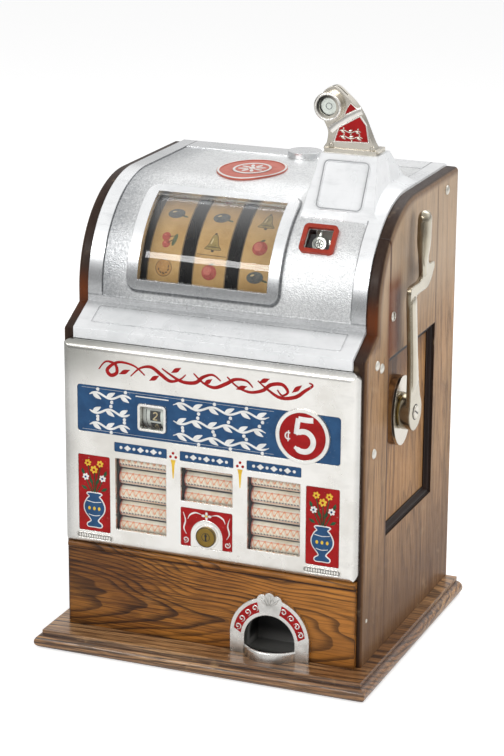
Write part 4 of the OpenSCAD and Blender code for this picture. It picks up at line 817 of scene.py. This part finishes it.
# price mark in the ring
price = dict(level=-151.0, fill=0.5, line=1.4, lines=[
    ([(13.0, 20.6), (5.0, 20.2), (-5.0, 20.6)], 7.0),
    ([(-5.2, 21.2), (-6.6, 12.0), (-7.8, 2.2)], 6.4),
    ([(-7.6, 2.4), (-1.0, 5.8), (6.6, 5.0), (12.4, -1.2), (12.6, -9.6), (7.0, -16.8), (-2.0, -17.8), (-9.6, -13.6)],
     taper(7.0, 0.6, 0.08)),
    ([polar(-17.5, -1.0, a, 3.6, 4.0) for a in range(50, 311, 26)], 1.8),
    ([(-17.0, 5.6), (-17.3, -1.0), (-17.6, -7.6)], 1.5)])
plane = onFront(price["level"])
raised(bm, plane, ring(cx, cz, band["disc"], count=64), price["fill"], red, -0.02, 0.2)
for points, width in price["lines"]:
    stroke(bm, plane, smoothPath([(cx + u, cz + v) for u, v in points], 8), width, price["line"], white)

# small plates over the mint windows
headers = dict(z0=253.0, z1=265.0, half=34.0, pitch=84.5, corner=1.4, step=8.4, dot=1.9, lozenge=(4.6, 3.6))
for k in (-1, 0, 1):
    mid, middle = k * headers["pitch"], (headers["z0"] + headers["z1"]) / 2
    wide, high = headers["lozenge"]
    fill(pocket(mid - headers["half"], mid + headers["half"], headers["z0"], headers["z1"], headers["corner"]), blue)
    for j in range(-3, 4):
        u = mid + j * headers["step"]
        lozenge = [(u - wide, middle), (u, middle - high), (u + wide, middle), (u, middle + high)]
        relief(ring(u, middle, headers["dot"], count=14) if j % 2 else lozenge, white)

# drops between the plates
drops = dict(x=42.4, top=263.0, stem=(252.5, 247.0, 230.0), berry=1.7,
             berries=((0, -2.0), (-3.4, -6.6), (3.4, -6.6)))
for s in (-1, 1):
    u, top = s * drops["x"], drops["top"]
    for a, b in drops["berries"]:
        raised(bm, flat, ring(u + a, top + b, drops["berry"], count=14), 0.7, red, -0.05, 0.4)
    stroke(bm, flat, [(u, v) for v in drops["stem"]], lambda t: 5.6 * (1 - t) + 1.0, 0.8, yellow)

# red side panels with a vase of flowers, and a beaded plate below
sides = dict(x=145.25, half=20.75, z0=148.5, z1=244.5, corner=2.0,
             vase=[(0, 6), (8, 6), (9, 9), (5, 12), (4.5, 15), (11.5, 24), (13, 32), (9.5, 40), (6, 44), (8.5, 48)],
             hoops=((20.5, 15.0), (37.5, 19.0)), beads=(6.4, 29.2, 1.7, 2.3),
             stems=[((0, 48), (0.6, 60), (0, 74)), ((-2, 48), (-7, 57), (-11, 66)), ((2, 48), (7, 57), (11, 66)),
                    ((-1, 50), (-5, 68), (-8, 82)), ((1, 50), (5, 68), (8, 82))],
             leaves=((-13, 54, 150), (13, 54, 30), (-4, 63, 120), (4, 63, 60), (-14.5, 74, 110), (14.5, 74, 70)),
             flowers=((0, 78, 4.6, yellow), (-11, 68, 4.0, white), (11, 68, 4.0, white), (-8, 86, 4.0, yellow),
                      (8, 86, 4.0, yellow)),
             plaque=(23.5, 138.4, 145.6, 3.4))
for s in (-1, 1):
    mid, z0 = s * sides["x"], sides["z0"]
    fill(pocket(mid - sides["half"], mid + sides["half"], z0, sides["z1"], sides["corner"]), red)
    shape = [(mid + u, z0 + v) for u, v in sides["vase"]] + [(mid - u, z0 + v) for u, v in sides["vase"][:0:-1]]
    shape = smoothPath(shape, 4, closed=True)
    relief(inset(shape, -1.3), white, 0.0, 0.3)
    relief(shape, blue, 0.35, 0.3)
    for v, w in sides["hoops"]:
        drawn(smoothPath([(mid - w / 2, z0 + v + 0.8), (mid, z0 + v - 0.6), (mid + w / 2, z0 + v + 0.8)], 6),
              1.3, white, 0.8)
    pitch, v, wide, high = sides["beads"]
    for k in (-1, 0, 1):
        relief(ring(mid + pitch * k, z0 + v, wide, high, 14), yellow, 0.8)
    for stem in sides["stems"]:
        drawn(smoothPath([(mid + u, z0 + v) for u, v in stem], 6), 1.3, green)
    for u, v, turn in sides["leaves"]:
        leaf(bm, sunk, mid + u, z0 + v, turn, 8.8, swell(0.6, 4.2), front["line"], green)
    for u, v, r, paint in sides["flowers"]:
        for turn in range(15, 375, 60):
            petal = polar(mid + u, z0 + v, turn, 0.62 * r)
            relief(ring(*petal, 0.5 * r, 0.36 * r, 14, turn), paint, 0.2, 0.35)
        relief(ring(mid + u, z0 + v, 0.34 * r, count=14), blue if paint == white else red, 0.7, 0.35)
    half, low, high, corner = sides["plaque"]
    plaque = roundBox(mid - half, mid + half, low, high, corner)
    raised(bm, flat, plaque, 0.25, grey, -0.05, 0.1)
    hoop(bm, flat, plaque, 1.3, 0.9, metal)
    for k in range(-6, 7):
        raised(bm, flat, ring(mid + 3.2 * k, (low + high) / 2, 1.15, 1.9, 12), 0.8, metal, 0.0, 0.3)

# red block with the lock
block = dict(z0=148.0, z1=196.0, half=33.0, lockZ=163.0, arch=19.5, flower=188.5, scroll=(26.6, 156.0, 4.0, 0.8),
             lines=[([(29.8, 190.0), (27, 180), (29, 170), (25.6, 163)], 2.0),
                    ([(6, 189.5), (14, 191), (21, 187.5), (24, 182)], 2.2)],
             petalAt=(4.0, 2.6), petal=(2.4, 1.6), bud=1.5)
foot, top, half = block["z0"] + front["gap"], block["z1"] - front["gap"], block["half"] - front["gap"]
arch = [polar(0.0, block["lockZ"], 180 - a, block["arch"]) for a in range(0, 181, 9)]
arch = [(-block["arch"], foot)] + arch + [(block["arch"], foot)]
fill([(-half, foot)] + arch + [(half, foot), (half, top), (-half, top)], red)
raised(bm, sunk, arch[::-1], 1.0, metal, -0.02, 0.2)
drawn(arch, 1.5, metal)
for s in (-1, 1):
    u, v, first, last = block["scroll"]
    drawn(spiral(s * u, v, first, last, 90 - 90 * s + 60, -1.3 * s), taper(1.3, 0.5, 0.15), white)
    for points, width in block["lines"]:
        drawn(smoothPath([(s * u, v) for u, v in points], 8), swell(0.5, width), white)
for turn in range(0, 360, 90):
    relief(ring(*polar(0.0, block["flower"], turn, *block["petalAt"]), *block["petal"], 16, turn), white)
relief(ring(0, block["flower"], block["bud"], count=14), yellow, 0.4)

# red pen flourish above the band: swung lines and leaves
flourish = dict(z=355.0, thick=4.6, high=0.9, low=-0.05, lines=[
    [(-137, -2), (-128, 8), (-116, 6), (-114, -4), (-122, -8), (-126, -1), (-112, 9), (-92, 7), (-78, -3)],
    [(-96, -6), (-84, 5), (-70, 8), (-58, 1), (-46, -6), (-34, -3), (-26, 4)],
    [(-56, 8), (-44, 1), (-30, -5), (-14, -4), (-4, 4), (8, 8), (18, 2)],
    [(-16, 7), (-4, -3), (10, -7), (24, -1), (36, 6), (50, 6), (58, -1)],
    [(26, 8), (38, -2), (54, -7), (70, -3), (80, 5), (94, 7), (101, -1), (94, -6), (88, 0)],
    [(64, 8), (76, -1), (92, -9), (110, -6), (122, 3), (131, 10), (127, 13)]],
    leaves=((-104, -2, 205, 15.0), (-66, -5, 210, 13.75), (-38, 8, 30, 13.75), (2, -1, 215, 12.5),
            (44, -3, 200, 13.75), (72, 9, 25, 13.75), (112, 4, 40, 15.0)))
for path in flourish["lines"]:
    stroke(bm, flat, smoothPath([(u, flourish["z"] + v) for u, v in path], 9), swell(1.5, flourish["thick"]),
           flourish["high"], red, flourish["low"])
for u, v, turn, length in flourish["leaves"]:
    leaf(bm, flat, u, flourish["z"] + v, turn, length, swell(0.8, 5.6), flourish["high"], red, flourish["low"])
addPiece("front_enamel", bm, fieldPaints, "front_panel")
print("front enamel made")


# Mint rolls in their wrappers

rolls = dict(y=-132.8, r=10.0, length=65.0, gap=0.3, count=40,
             columns=[(-84.5, 147.5, 5), (0.0, 196.0, 3), (84.5, 147.5, 5)])


def rollMesh(bm, cx, cz, turn):  # puffed paper with pleated ends
    uvLayer = bm.loops.layers.uv.verify()
    r, half, count = rolls["r"] - 0.15, rolls["length"] / 2 - 0.3, rolls["count"]
    ends = [(0.0, 0.35), (0.0, 0.62), (0.25, 0.9), (1.0, 0.99)]
    stations = [(t - half, share) for t, share in ends]
    stations += [(-half + 1.0 + (2 * half - 2) * k / 12, 1.0) for k in range(13)]
    stations += [(half - t, share) for t, share in reversed(ends)]
    rows = []
    for x, share in stations:
        row = []
        for k in range(count):
            a = 2 * math.pi * k / count
            puff = 1.0 - 0.012 * (0.5 + 0.5 * math.sin(5 * a + 0.6 * x + turn))
            pleat = share * (1.0 - 0.05 * (k % 2))
            radius = r * (puff if share > 0.95 else pleat)
            y, z = rolls["y"] - radius * math.sin(a), cz + radius * math.cos(a)
            row.append(bm.verts.new(((cx + x) * mm, y * mm, z * mm)))
        rows.append(row)
    for j, (a, b) in enumerate(zip(rows, rows[1:])):
        for i in range(count):
            made = bm.faces.new((a[i], a[(i + 1) % count], b[(i + 1) % count], b[i]))
            for loop, (row, col) in zip(made.loops, ((j, i), (j, i + 1), (j + 1, i + 1), (j + 1, i))):
                loop[uvLayer].uv = ((stations[row][0] + half) / (2 * half), 0.75 - (col / count + turn / 360))
    for row in (rows[0], rows[-1]):
        for loop in bm.faces.new(row).loops:
            loop[uvLayer].uv = (0.0, 0.5)


bm = bmesh.new()
for middle, sill, count in rolls["columns"]:
    for k in range(count):
        z = sill + rolls["gap"] + rolls["r"] + k * (2 * rolls["r"] + rolls["gap"])
        rollMesh(bm, middle, z, ((k * 37 + int(middle)) % 11) - 5)
rollPiece = addPiece("mint_roll_stock", bm, [wrapperPaper], "front_panel")
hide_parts("mint_rolls")
print("mint rolls made")


# Fruit symbols on the reel strips: ink, outline and order of height

bellHalf = [(0, 11), (2.2, 10.2), (3.4, 7.2), (4.6, 3.2), (5.6, -0.6), (7.8, -4.2), (9.6, -6.2), (9.2, -7.4),
            (0, -7.8)]
bellShape = smoothPath(bellHalf + [(-u, v) for u, v in bellHalf[-2:0:-1]], 4, closed=True)
lemonHalf = [(-9.4, 1.2), (-5, 5.8), (3, 6.2), (8.6, 2.0), (11.4, 0.6)]
lemonShape = smoothPath([(-12, 0)] + lemonHalf + [(u, -v) for u, v in reversed(lemonHalf)], 4, closed=True)
peelDots = [polar(0.0, 0.0, math.degrees(0.62 * k + 3.5), 6.4) for k in range(6)]
symbols = {
    "plum": [("plum", ring(0, 0, 10.5, 7.0, 36, 8), 1), ("leaf", ring(12.0, -3.2, 4.2, 1.3, 18, -12), 1),
             ("pale", ring(-3.4, 2.4, 2.6, 1.1, 16, 20), 2), ("line", ring(10.4, -2.2, 1.2, 0.8, 12), 2)],
    "cherry": [("red", ring(-3.4, 2.8, 5.4, 5.4, 30), 1), ("red", ring(-1.8, -6.2, 5.0, 5.0, 30), 1),
               ("leaf", ring(8.0, -0.5, 2.6, 8.0, 26, -12), 1), ("pink", ring(-5.2, 4.6, 1.5, 1.2, 14), 2),
               ("pink", ring(-3.6, -4.8, 1.4, 1.1, 14), 2), ("line", ring(3.8, 3.6, 4.6, 0.55, 18, 12), 2),
               ("line", ring(3.4, -2.4, 5.0, 0.55, 18, 40), 2)],
    "orange": [("line", ring(0, 0, 10.4, 10.4, 40), 1), ("orange", ring(0, 0, 9.7, 9.7, 40), 2)]
              + [("line", ring(*dot, 0.8, 1.7, 12, 35 * k), 3) for k, dot in enumerate(peelDots)],
    "bell": [("line", inset(bellShape, -0.6), 1), ("gold", bellShape, 2),
             ("pale", ring(-2.6, 2.6, 0.9, 4.0, 18, -14), 3), ("line", ring(0, -9.2, 2.0, 1.7, 16), 1),
             ("line", ring(0, -4.6, 7.4, 0.5, 24), 3), ("line", ring(0, 12.2, 1.6, 1.6, 16), 1)],
    "peach": [("red", ring(0, 0, 9.4, 9.0, 36), 1), ("pink", ring(-2.2, 1.8, 5.4, 5.2, 28), 2),
              ("red", ring(2.0, -0.6, 0.5, 7.2, 22, -16), 3), ("leaf", ring(1.6, 9.6, 3.2, 1.3, 18, 24), 1)],
    "lemon": [("line", inset(lemonShape, -0.5), 1), ("lemon", lemonShape, 2),
              ("pale", ring(-3.0, 2.4, 3.4, 1.0, 16, 10), 3)],
}
reels = dict(r=112.0, step=18.0, first=127.0, lift=0.08, border=20.3, borderHalf=0.45, borderLift=0.06,
             middles=dict(one=-86.0, two=-28.0, three=30.0),
             orders=["plum cherry orange bell lemon cherry plum orange cherry peach "
                     "plum bell cherry orange lemon plum cherry bell orange peach",
                     "plum bell peach cherry orange plum bell cherry lemon orange "
                     "plum cherry bell peach orange cherry plum lemon bell cherry",
                     "bell peach plum lemon orange cherry peach plum bell orange "
                     "lemon plum peach orange bell cherry plum lemon orange peach"])
paintOf = {name: k for k, name in enumerate(inks)}
for index, (word, middle) in enumerate(reels["middles"].items()):
    bm = bmesh.new()
    drum = onDrum(middle, reels["r"], crown["y"], crown["z"])
    for k, kind in enumerate(reels["orders"][index].split()):
        sheet = onDrumSheet(drum, reels["r"], reels["first"] + reels["step"] * k)
        for ink, outline, order in symbols[kind]:
            raised(bm, sheet, outline, reels["lift"] * order, paintOf[ink], 0.0, 0.03)
        if kind == "bell" and k % 2:  # seam of the paper
            stroke(bm, sheet, straight(-19, -14.5, 19, -15.1, 8), 0.7, reels["lift"] * 2, paintOf["line"])
    for s in (-1, 1):
        ends = [s * reels["border"] + t * reels["borderHalf"] for t in (-1, 1)]
        rows = [[bm.verts.new(drum(u, reels["first"] + 4.0 * a, reels["borderLift"])) for u in ends]
                for a in range(91)]
        stitch(bm, rows, paintOf["line"], closed=False)
    addPiece("reel_symbols_%d" % (index + 1), bm, list(inks.values()), "reel_" + word)
print("reel symbols made")


# Badge rings and rosette on the top

badge = dict(x=-31.0, along=33.0, top=128.5, rx=41.0, ry=53.0, high=0.45, rings=((0.99, 0.93), (0.55, 0.48)),
             petalAt=(10.5, 13.5), petal=(6.2, 2.3), bud=(3.6, 4.6), budHigh=0.6)
bm = bmesh.new()
crest = onSkin(badge["top"])
for shares in badge["rings"]:
    outer, inner = (ring(badge["x"], badge["along"], badge["rx"] * t, badge["ry"] * t, 72) for t in shares)
    raised(bm, crest, outer, badge["high"], 0, -0.3, 0.25, [inner])
for k in range(8):
    turn = 45 * k + 22.5
    petal = ring(*polar(badge["x"], badge["along"], turn, *badge["petalAt"]), *badge["petal"], 20,
                 turn + (4 if k % 2 else -4))
    raised(bm, crest, petal, badge["high"], 0, -0.2, 0.2)
raised(bm, crest, ring(badge["x"], badge["along"], *badge["bud"], 24), badge["budHigh"], 0, -0.2, 0.2)
addPiece("badge_rings", bm, [whiteEnamel], "cabinet")
print("badge made")


# Coin head: red panels with raised edges, garlands, strap, screws and the coin ring

head = dict(level=3.26, panel=[(95.6, 614.2), (138.8, 616.0), (135.3, 636.2), (127.3, 646.5), (101.2, 631.3)],
            small=[(115.3, 660.9), (123.4, 654.4), (107.7, 646.3), (111.0, 654.4)],
            strap=[(91.0, 627.0), (99.5, 634.6), (111.5, 643.2), (124.0, 650.4), (129.6, 652.9)],
            garlands=((102.0, 130.85, 620.5), (102.0, 128.75, 627.5)), leafSize=5.4,
            screws=(92.4, 143.0), screwZ=609.4, screw=3.0)
bm = bmesh.new()
plane = onFront(head["level"])
for part, steps, width, high in (("panel", 2, 2.0, 1.5), ("small", 1, 0.9, 1.0)):
    outline = head[part]
    raised(bm, plane, outline, 0.5, 0, -0.02, 0.2)
    for a, b in zip(outline, outline[1:] + outline[:1]):
        stroke(bm, plane, straight(*a, *b, steps), width, high, 2)
stroke(bm, plane, smoothPath(head["strap"], 6), 9.0, 1.8, 2)
for u0, u1, v in head["garlands"]:
    garland(bm, plane, u0, u1, v, head["leafSize"], 1, 1.1)
for u in head["screws"]:
    slottedScrew(bm, plane, u, head["screwZ"], head["screw"], 40 + u, 1)
coinRing = dict(x=90.0, z=656.0, level=-4.74, roll=15.0, width=2.9, cone=14.0, mouth=10.7)
plane = onFront(coinRing["level"])
roll, cone, mouth = (ring(coinRing["x"], coinRing["z"], coinRing[key], count=64) for key in ("roll", "cone", "mouth"))
hoop(bm, plane, roll, coinRing["width"], 1.7, 2)
raised(bm, plane, cone, 0.25, 3, -0.05, 0.1, [mouth])
addPiece("coin_head_trim", bm, [redEnamel, nickelFinish, ringFinish, ringCone], "cabinet")
print("coin head trimmed")


# Grey line on the raised frame of the tower's slope, painted as the shade of its groove

slope = dict(x=118.0, y=-45.74, z=534.05, turn=59.52, half=27.4, mid=41.0, reach=29.2, corner=5.6,
             low=1.3, high=1.9, width=1.5)
bm = bmesh.new()
outline = roundBox(-slope["half"], slope["half"], slope["mid"] - slope["reach"], slope["mid"] + slope["reach"],
                   slope["corner"])
hoop(bm, onSlope(slope["x"], slope["y"], slope["z"], slope["turn"]), outline, slope["width"], slope["high"],
     0, slope["low"])
addPiece("tower_line", bm, [lineFinish], "cabinet")
print("tower line made")


# Payout cup: red scrolls on the arched plate, shell ribs on the crest

cup = dict(x=79.5, level=-148.0, spring=43.0, centre=47.0, inner=36.5, outer=45.5, shell=84.0,
           scrollAt=(41.0, 41.2), scroll=(4.2, 0.9), rib=(4.0, 19.0, 17.0))
bm = bmesh.new()
plane = onFront(cup["level"])
for s in (-1, 1):
    angles = [8 + 62 * k / 12 for k in range(13)]
    inner = [polar(cup["x"], cup["spring"], a, s * cup["inner"], cup["inner"]) for a in angles]
    outer = [polar(cup["x"], cup["centre"], a, s * cup["outer"], cup["outer"]) for a in angles]
    raised(bm, plane, inner + outer[::-1], 0.35, 0, -0.05, 0.2)
    for a in range(16, 80, 16):
        wide, high = cup["scrollAt"]
        u, v = polar(cup["x"], (cup["spring"] + cup["centre"]) / 2, a, s * wide, high)
        stroke(bm, plane, spiral(u, v, *cup["scroll"], a + 120 * s, -1.2 * s), taper(1.5, 0.5, 0.15), 1.1, 1)
for a in range(50, 150, 20):
    foot, wide, high = cup["rib"]
    rib = straight(*polar(cup["x"], cup["shell"], a, foot), *polar(cup["x"], cup["shell"], a, wide, high), 6)
    stroke(bm, plane, rib, swell(0.8, 3.2), 1.3, 1)
addPiece("cup_scrolls", bm, [redEnamel, whiteMetal], "cabinet")
print("cup trimmed")


# Handle: hub screw, rounded arm and full grip

hub = dict(y=-15.5, z=304.0, level=209.5, r=8.4, flat=0.42, turn=60)
bm = bmesh.new()
plane = onRight(hub["level"])
slottedScrew(bm, plane, hub["y"], hub["z"], hub["r"], hub["turn"], 0, hub["flat"])
# the black ring round the screw and the black bar in its slot are painted shade of the countersink and the slot
hoop(bm, plane, ring(hub["y"], hub["z"], hub["r"] + 0.5), 1.1, 0.5, 1)
slotEnds = [end for reach in (-0.8, 0.8) for end in polar(hub["y"], hub["z"], hub["turn"] + 90, reach * hub["r"])]
stroke(bm, plane, straight(*slotEnds, 4), 0.24 * hub["r"], 0.32 * hub["r"] * hub["flat"] + 0.3, 1)
addPiece("hub_screw", bm, [nickelFinish, blackFinish], "handle")

lever = dict(level=209.4, arm=[(-3.4, 29.0), (-7.0, 60.0), (-11.4, 98.3), (-14.8, 128.1), (-16.2, 143.5)],
             armWidth=(24.0, 18.0), armHigh=2.6, middle=206.75,
             grip=[(26.6, 160.0), (24.6, 175.3), (23.9, 190.7), (24.4, 206.0), (25.4, 221.3), (26.1, 236.8)],
             gripWidth=(8.7, 9.2), gripHigh=(4.1, 8.2))


def armShape(t):  # widest at the hub, drawn in at the far end
    wide, slim = lever["armWidth"]
    return max(slim, wide - (wide - slim) * t / 0.35) * min(1.0, 0.55 + 4 * (1 - t))


def gripShape(t):  # slim at the jog, full above, with a domed end
    full = min(1.0, max(0.0, (t - 0.08) / 0.5))
    full = full * full * (3 - 2 * full)
    dome = math.sqrt(max(0.01, 1 - max(0.0, (t - 0.85) / 0.15) ** 2))
    return [(low + (high - low) * full) * dome for low, high in (lever["gripWidth"], lever["gripHigh"])]


bm = bmesh.new()
armPath, gripPath = ([(hub["y"] + u, hub["z"] + v) for u, v in smoothPath(lever[part], 12)]
                     for part in ("arm", "grip"))
stroke(bm, onRight(lever["level"]), armPath, armShape, fadeEnds(lever["armHigh"], 0.14))
tube(bm, onRight(lever["middle"]), gripPath, gripShape)
addPiece("lever_rounding", bm, [leverFinish], "handle")


# Lock face, coins, indicator figures and hinge screws

# the black keyhole and the black rings on the plug and flange are painted shade of the keyhole and the grooves
lock = dict(z=163.0, plug=-152.5, flange=-153.0, keyhole=1.7,
            plugRings=((7.2, 0.9, 0.4, 0), (4.9, 0.7, 0.3, 1), (8.1, 0.7, 0.12, 1)),
            flangeRings=((10.6, 1.0, 0.4, 0), (12.0, 0.9, 0.12, 1)))
bm = bmesh.new()
plane = onFront(lock["plug"])
keyhole = [polar(0.0, lock["z"] + 1.6, a, lock["keyhole"]) for a in range(-60, 241, 20)]
raised(bm, plane, keyhole + [(-1.3, lock["z"] - 5.0), (1.3, lock["z"] - 5.0)], 0.12, 1, -0.02, 0.05)
for r, width, high, paint in lock["plugRings"]:
    hoop(bm, plane, ring(0, lock["z"], r, count=36), width, high, paint)
addPiece("lock_keyhole", bm, [lockBrass, blackFinish], "front_lock")
bm = bmesh.new()
for r, width, high, paint in lock["flangeRings"]:
    hoop(bm, onFront(lock["flange"]), ring(0, lock["z"], r, count=44), width, high, paint)
addPiece("lock_ring", bm, [lockBrass, blackFinish], "front_panel")


def coinRelief(bm, place, u, v, r, paint, line):  # rim, ring and a plain rosette
    for share, wide, tone in ((0.97, 0.08, paint), (0.6, 0.1, line)):
        hole = ring(u, v, r * (share - wide), count=44)
        raised(bm, place, ring(u, v, r * share, count=44), 0.35, tone, -0.05, 0.12, [hole])
    for turn in range(0, 360, 60):
        raised(bm, place, ring(*polar(u, v, turn, 0.27 * r), 0.14 * r, 0.07 * r, 14, turn), 0.3, line, -0.05, 0.1)
    raised(bm, place, ring(u, v, 0.1 * r, count=16), 0.4, line, -0.05, 0.12)


headCoin = dict(x=90.0, z=656.0, level=0.3, rim=(10.5, 10.0), r=9.9, circle=3.6)
bm = bmesh.new()
plane = onFront(headCoin["level"])
outer, inner = (ring(headCoin["x"], headCoin["z"], r, count=48) for r in headCoin["rim"])
# the black ring round the coin is painted shade of the gap at its edge
raised(bm, plane, outer, 0.7, 1, 0.0, 0.1, [inner])
coinRelief(bm, plane, headCoin["x"], headCoin["z"], headCoin["r"], 0, 0)
hoop(bm, plane, ring(headCoin["x"], headCoin["z"], headCoin["circle"], count=36), 0.7, 0.55, 2)
addPiece("coin_face", bm, [freshCoin, blackFinish, ironFinish], "cabinet")

chuteCoin = dict(x=98.5, y=-47.0, z=503.0, turn=66.0, r=9.0, thick=1.9,
                 strips=[(-1.5, 9.0, -0.5, 17.5, 6.0), (17.0, -9.0, 11.5, 6.0, 3.4)])
bm = bmesh.new()
plane = onSlope(chuteCoin["x"], chuteCoin["y"], chuteCoin["z"], chuteCoin["turn"])
raised(bm, plane, ring(0, 0, chuteCoin["r"], count=48), chuteCoin["thick"], 0, 0.0, 0.3)
coinRelief(bm, lambda u, v, h: plane(u, v, h + chuteCoin["thick"]), 0, 0, chuteCoin["r"], 0, 1)
for u0, v0, u1, v1, wide in chuteCoin["strips"]:
    stroke(bm, plane, straight(u0, v0, u1, v1, 4), wide, 1.6, 0)
addPiece("chute_coin", bm, [coinFinish, ironFinish], "cabinet")

figures = dict(x=-69.0, y=-121.45, z=300.5, r=20.0, width=14.0, side=11.5, digits=[
    [(-2.4, 3), (0, 4.4), (2.4, 3), (1.8, 0.4), (-2.4, -4.4), (2.6, -4.4)],
    [(1.4, -4.6), (1.4, 4.4), (-2.8, -1.6), (2.8, -1.6)],
    [(2.2, 4), (-1.4, 2), (-2.4, -2), (0, -4.4), (2.4, -2.2), (0, 0), (-2.2, -1.6)],
    [(0, 0.2), (2.2, 2.4), (0, 4.4), (-2.2, 2.4), (0, 0.2), (2.6, -2.2), (0, -4.4), (-2.6, -2.2), (0, 0.2)]])
bm = bmesh.new()
drum = onDrum(figures["x"], figures["r"], figures["y"], figures["z"])
for k in range(8):
    sheet = onDrumSheet(drum, figures["r"], 180 + 45 * k)
    stroke(bm, sheet, straight(0, -6.4, 0, 6.4, 8), figures["width"], 0.2, 0)
    stroke(bm, sheet, smoothPath(figures["digits"][k % 4], 5), 1.7, 0.45, 1)
    for s in (-1, 1):
        stroke(bm, sheet, straight(s * figures["side"], -7.2, s * figures["side"], 7.2, 6), 0.9, 0.2, 0)
addPiece("indicator_marks", bm, [blackFinish, inks["pale"]], "indicator")

backTrim = dict(leaf=180.4, x=152.0, hinges=(133.5, 409.0), apart=(6, 5), r=2.6, flat=0.5)
bm = bmesh.new()
for z in backTrim["hinges"]:
    for s in (-1, 1):
        u, v = backTrim["x"] + backTrim["apart"][0] * s, z + backTrim["apart"][1] * s
        slottedScrew(bm, onBack(backTrim["leaf"]), u, v, backTrim["r"], 30 + 40 * s, 0, backTrim["flat"])
addPiece("hinge_screws", bm, [brassFinish], "door")
print("small parts made")


# Camera, floor, lamps and world

view = dict(spot=(1.1019, -2.71175, 1.2271), target=(-0.00025, -0.0102, 0.3184), roll=0.313, lens=120.72)
camera = addObject("camera", bpy.data.cameras.new("camera"))
camera.data.lens = view["lens"]
camera.data.sensor_width = 36.0
camera.data.clip_end = 50.0


def aimed(spot, target):  # turn that looks from the spot at the target
    return (Vector(target) - Vector(spot)).to_track_quat("-Z", "Y")


camera.matrix_world = (Matrix.Translation(view["spot"]) @ aimed(view["spot"], view["target"]).to_matrix().to_4x4()
                       @ Matrix.Rotation(math.radians(view["roll"]), 4, "Z"))
scene.camera = camera

floorLook = dict(size=9.0, colour="#f0f0f0", lift=0.5)
bm = bmesh.new()
bmesh.ops.create_grid(bm, x_segments=2, y_segments=2, size=floorLook["size"])
floorMesh = bpy.data.meshes.new("floor")
bm.to_mesh(floorMesh)
bm.free()
floor = addObject("floor", floorMesh)
material, start, spot = newFinish("floor_white")
seen, glossy, through = lightRays(start)
x, y = spot.parts()[:2]
mirrored = 0.16 * x.ease(-0.85, -0.25) + 0.25 * y.ease(0.3, 1.3)  # what polished faces see of it
share = (seen.highest(through) * floorLook["lift"]).highest(glossy * mirrored)
matt = start.node("BsdfDiffuse", {}, {"Color": rgb(floorLook["colour"])})
glow = start.node("Emission", {}, {"Color": rgb("#ffffff"), "Strength": 1.0})
glow = start.node("MixShader", {}, {0: share, 2: glow})
start.node("OutputMaterial", {}, {"Surface": start.node("AddShader", {}, {0: matt, 1: glow})})
floorMesh.materials.append(material)

lamps = {
    "key": dict(spot=(-1.0, -2.6, 1.88), aim=(0, -0.1, 0.42), size=(2.4, 0.34), power=28.0, glint=True),
    "front": dict(spot=(-1.9, -2.6, 1.5), aim=(0, 0, 0.3), size=(1.6, 1.6), power=6.0, glint=False),
    "right": dict(spot=(2.8, -0.9, 1.4), aim=(0, 0, 0.3), size=(1.8, 1.8), power=38.0, glint=False),
    "top": dict(spot=(0.3, 1.3, 2.3), aim=(0, 0, 0.4), size=(2.0, 1.2), power=20.0, glint=True),
}
for name, lamp in lamps.items():
    data = bpy.data.lights.new(name, "AREA")
    data.shape = "RECTANGLE"
    data.size, data.size_y = lamp["size"]
    data.energy = lamp["power"]
    made = addObject(name, data)
    made.location = lamp["spot"]
    made.visible_glossy = lamp["glint"]
    made.rotation_euler = aimed(lamp["spot"], lamp["aim"]).to_euler()

world = bpy.data.worlds.new("studio")
scene.world = world
world.use_nodes = True
world.node_tree.nodes.clear()
start = Wire(world.node_tree)
seen, glossy, through = lightRays(start)
straightOn = seen.highest(through)
east, upward = start.node("TexCoord", out=0).parts()[::2]
gloom = (0 - east).ease(0.1, 0.8) * (1 - upward.ease(0.35, 0.8))
sky = (0.42 + 0.62 * upward.ease(0.02, 0.45)) * (1 - 0.45 * gloom)  # paler overhead, greyer on the left
strength = straightOn + (1 - straightOn) * (glossy * sky + (1 - glossy) * 0.5)
light = start.node("Background", {}, {"Color": rgb("#ffffff"), "Strength": strength})
start.node("OutputWorld", {}, {"Surface": light})
scene.view_settings.view_transform = "Standard"
print("stage set")
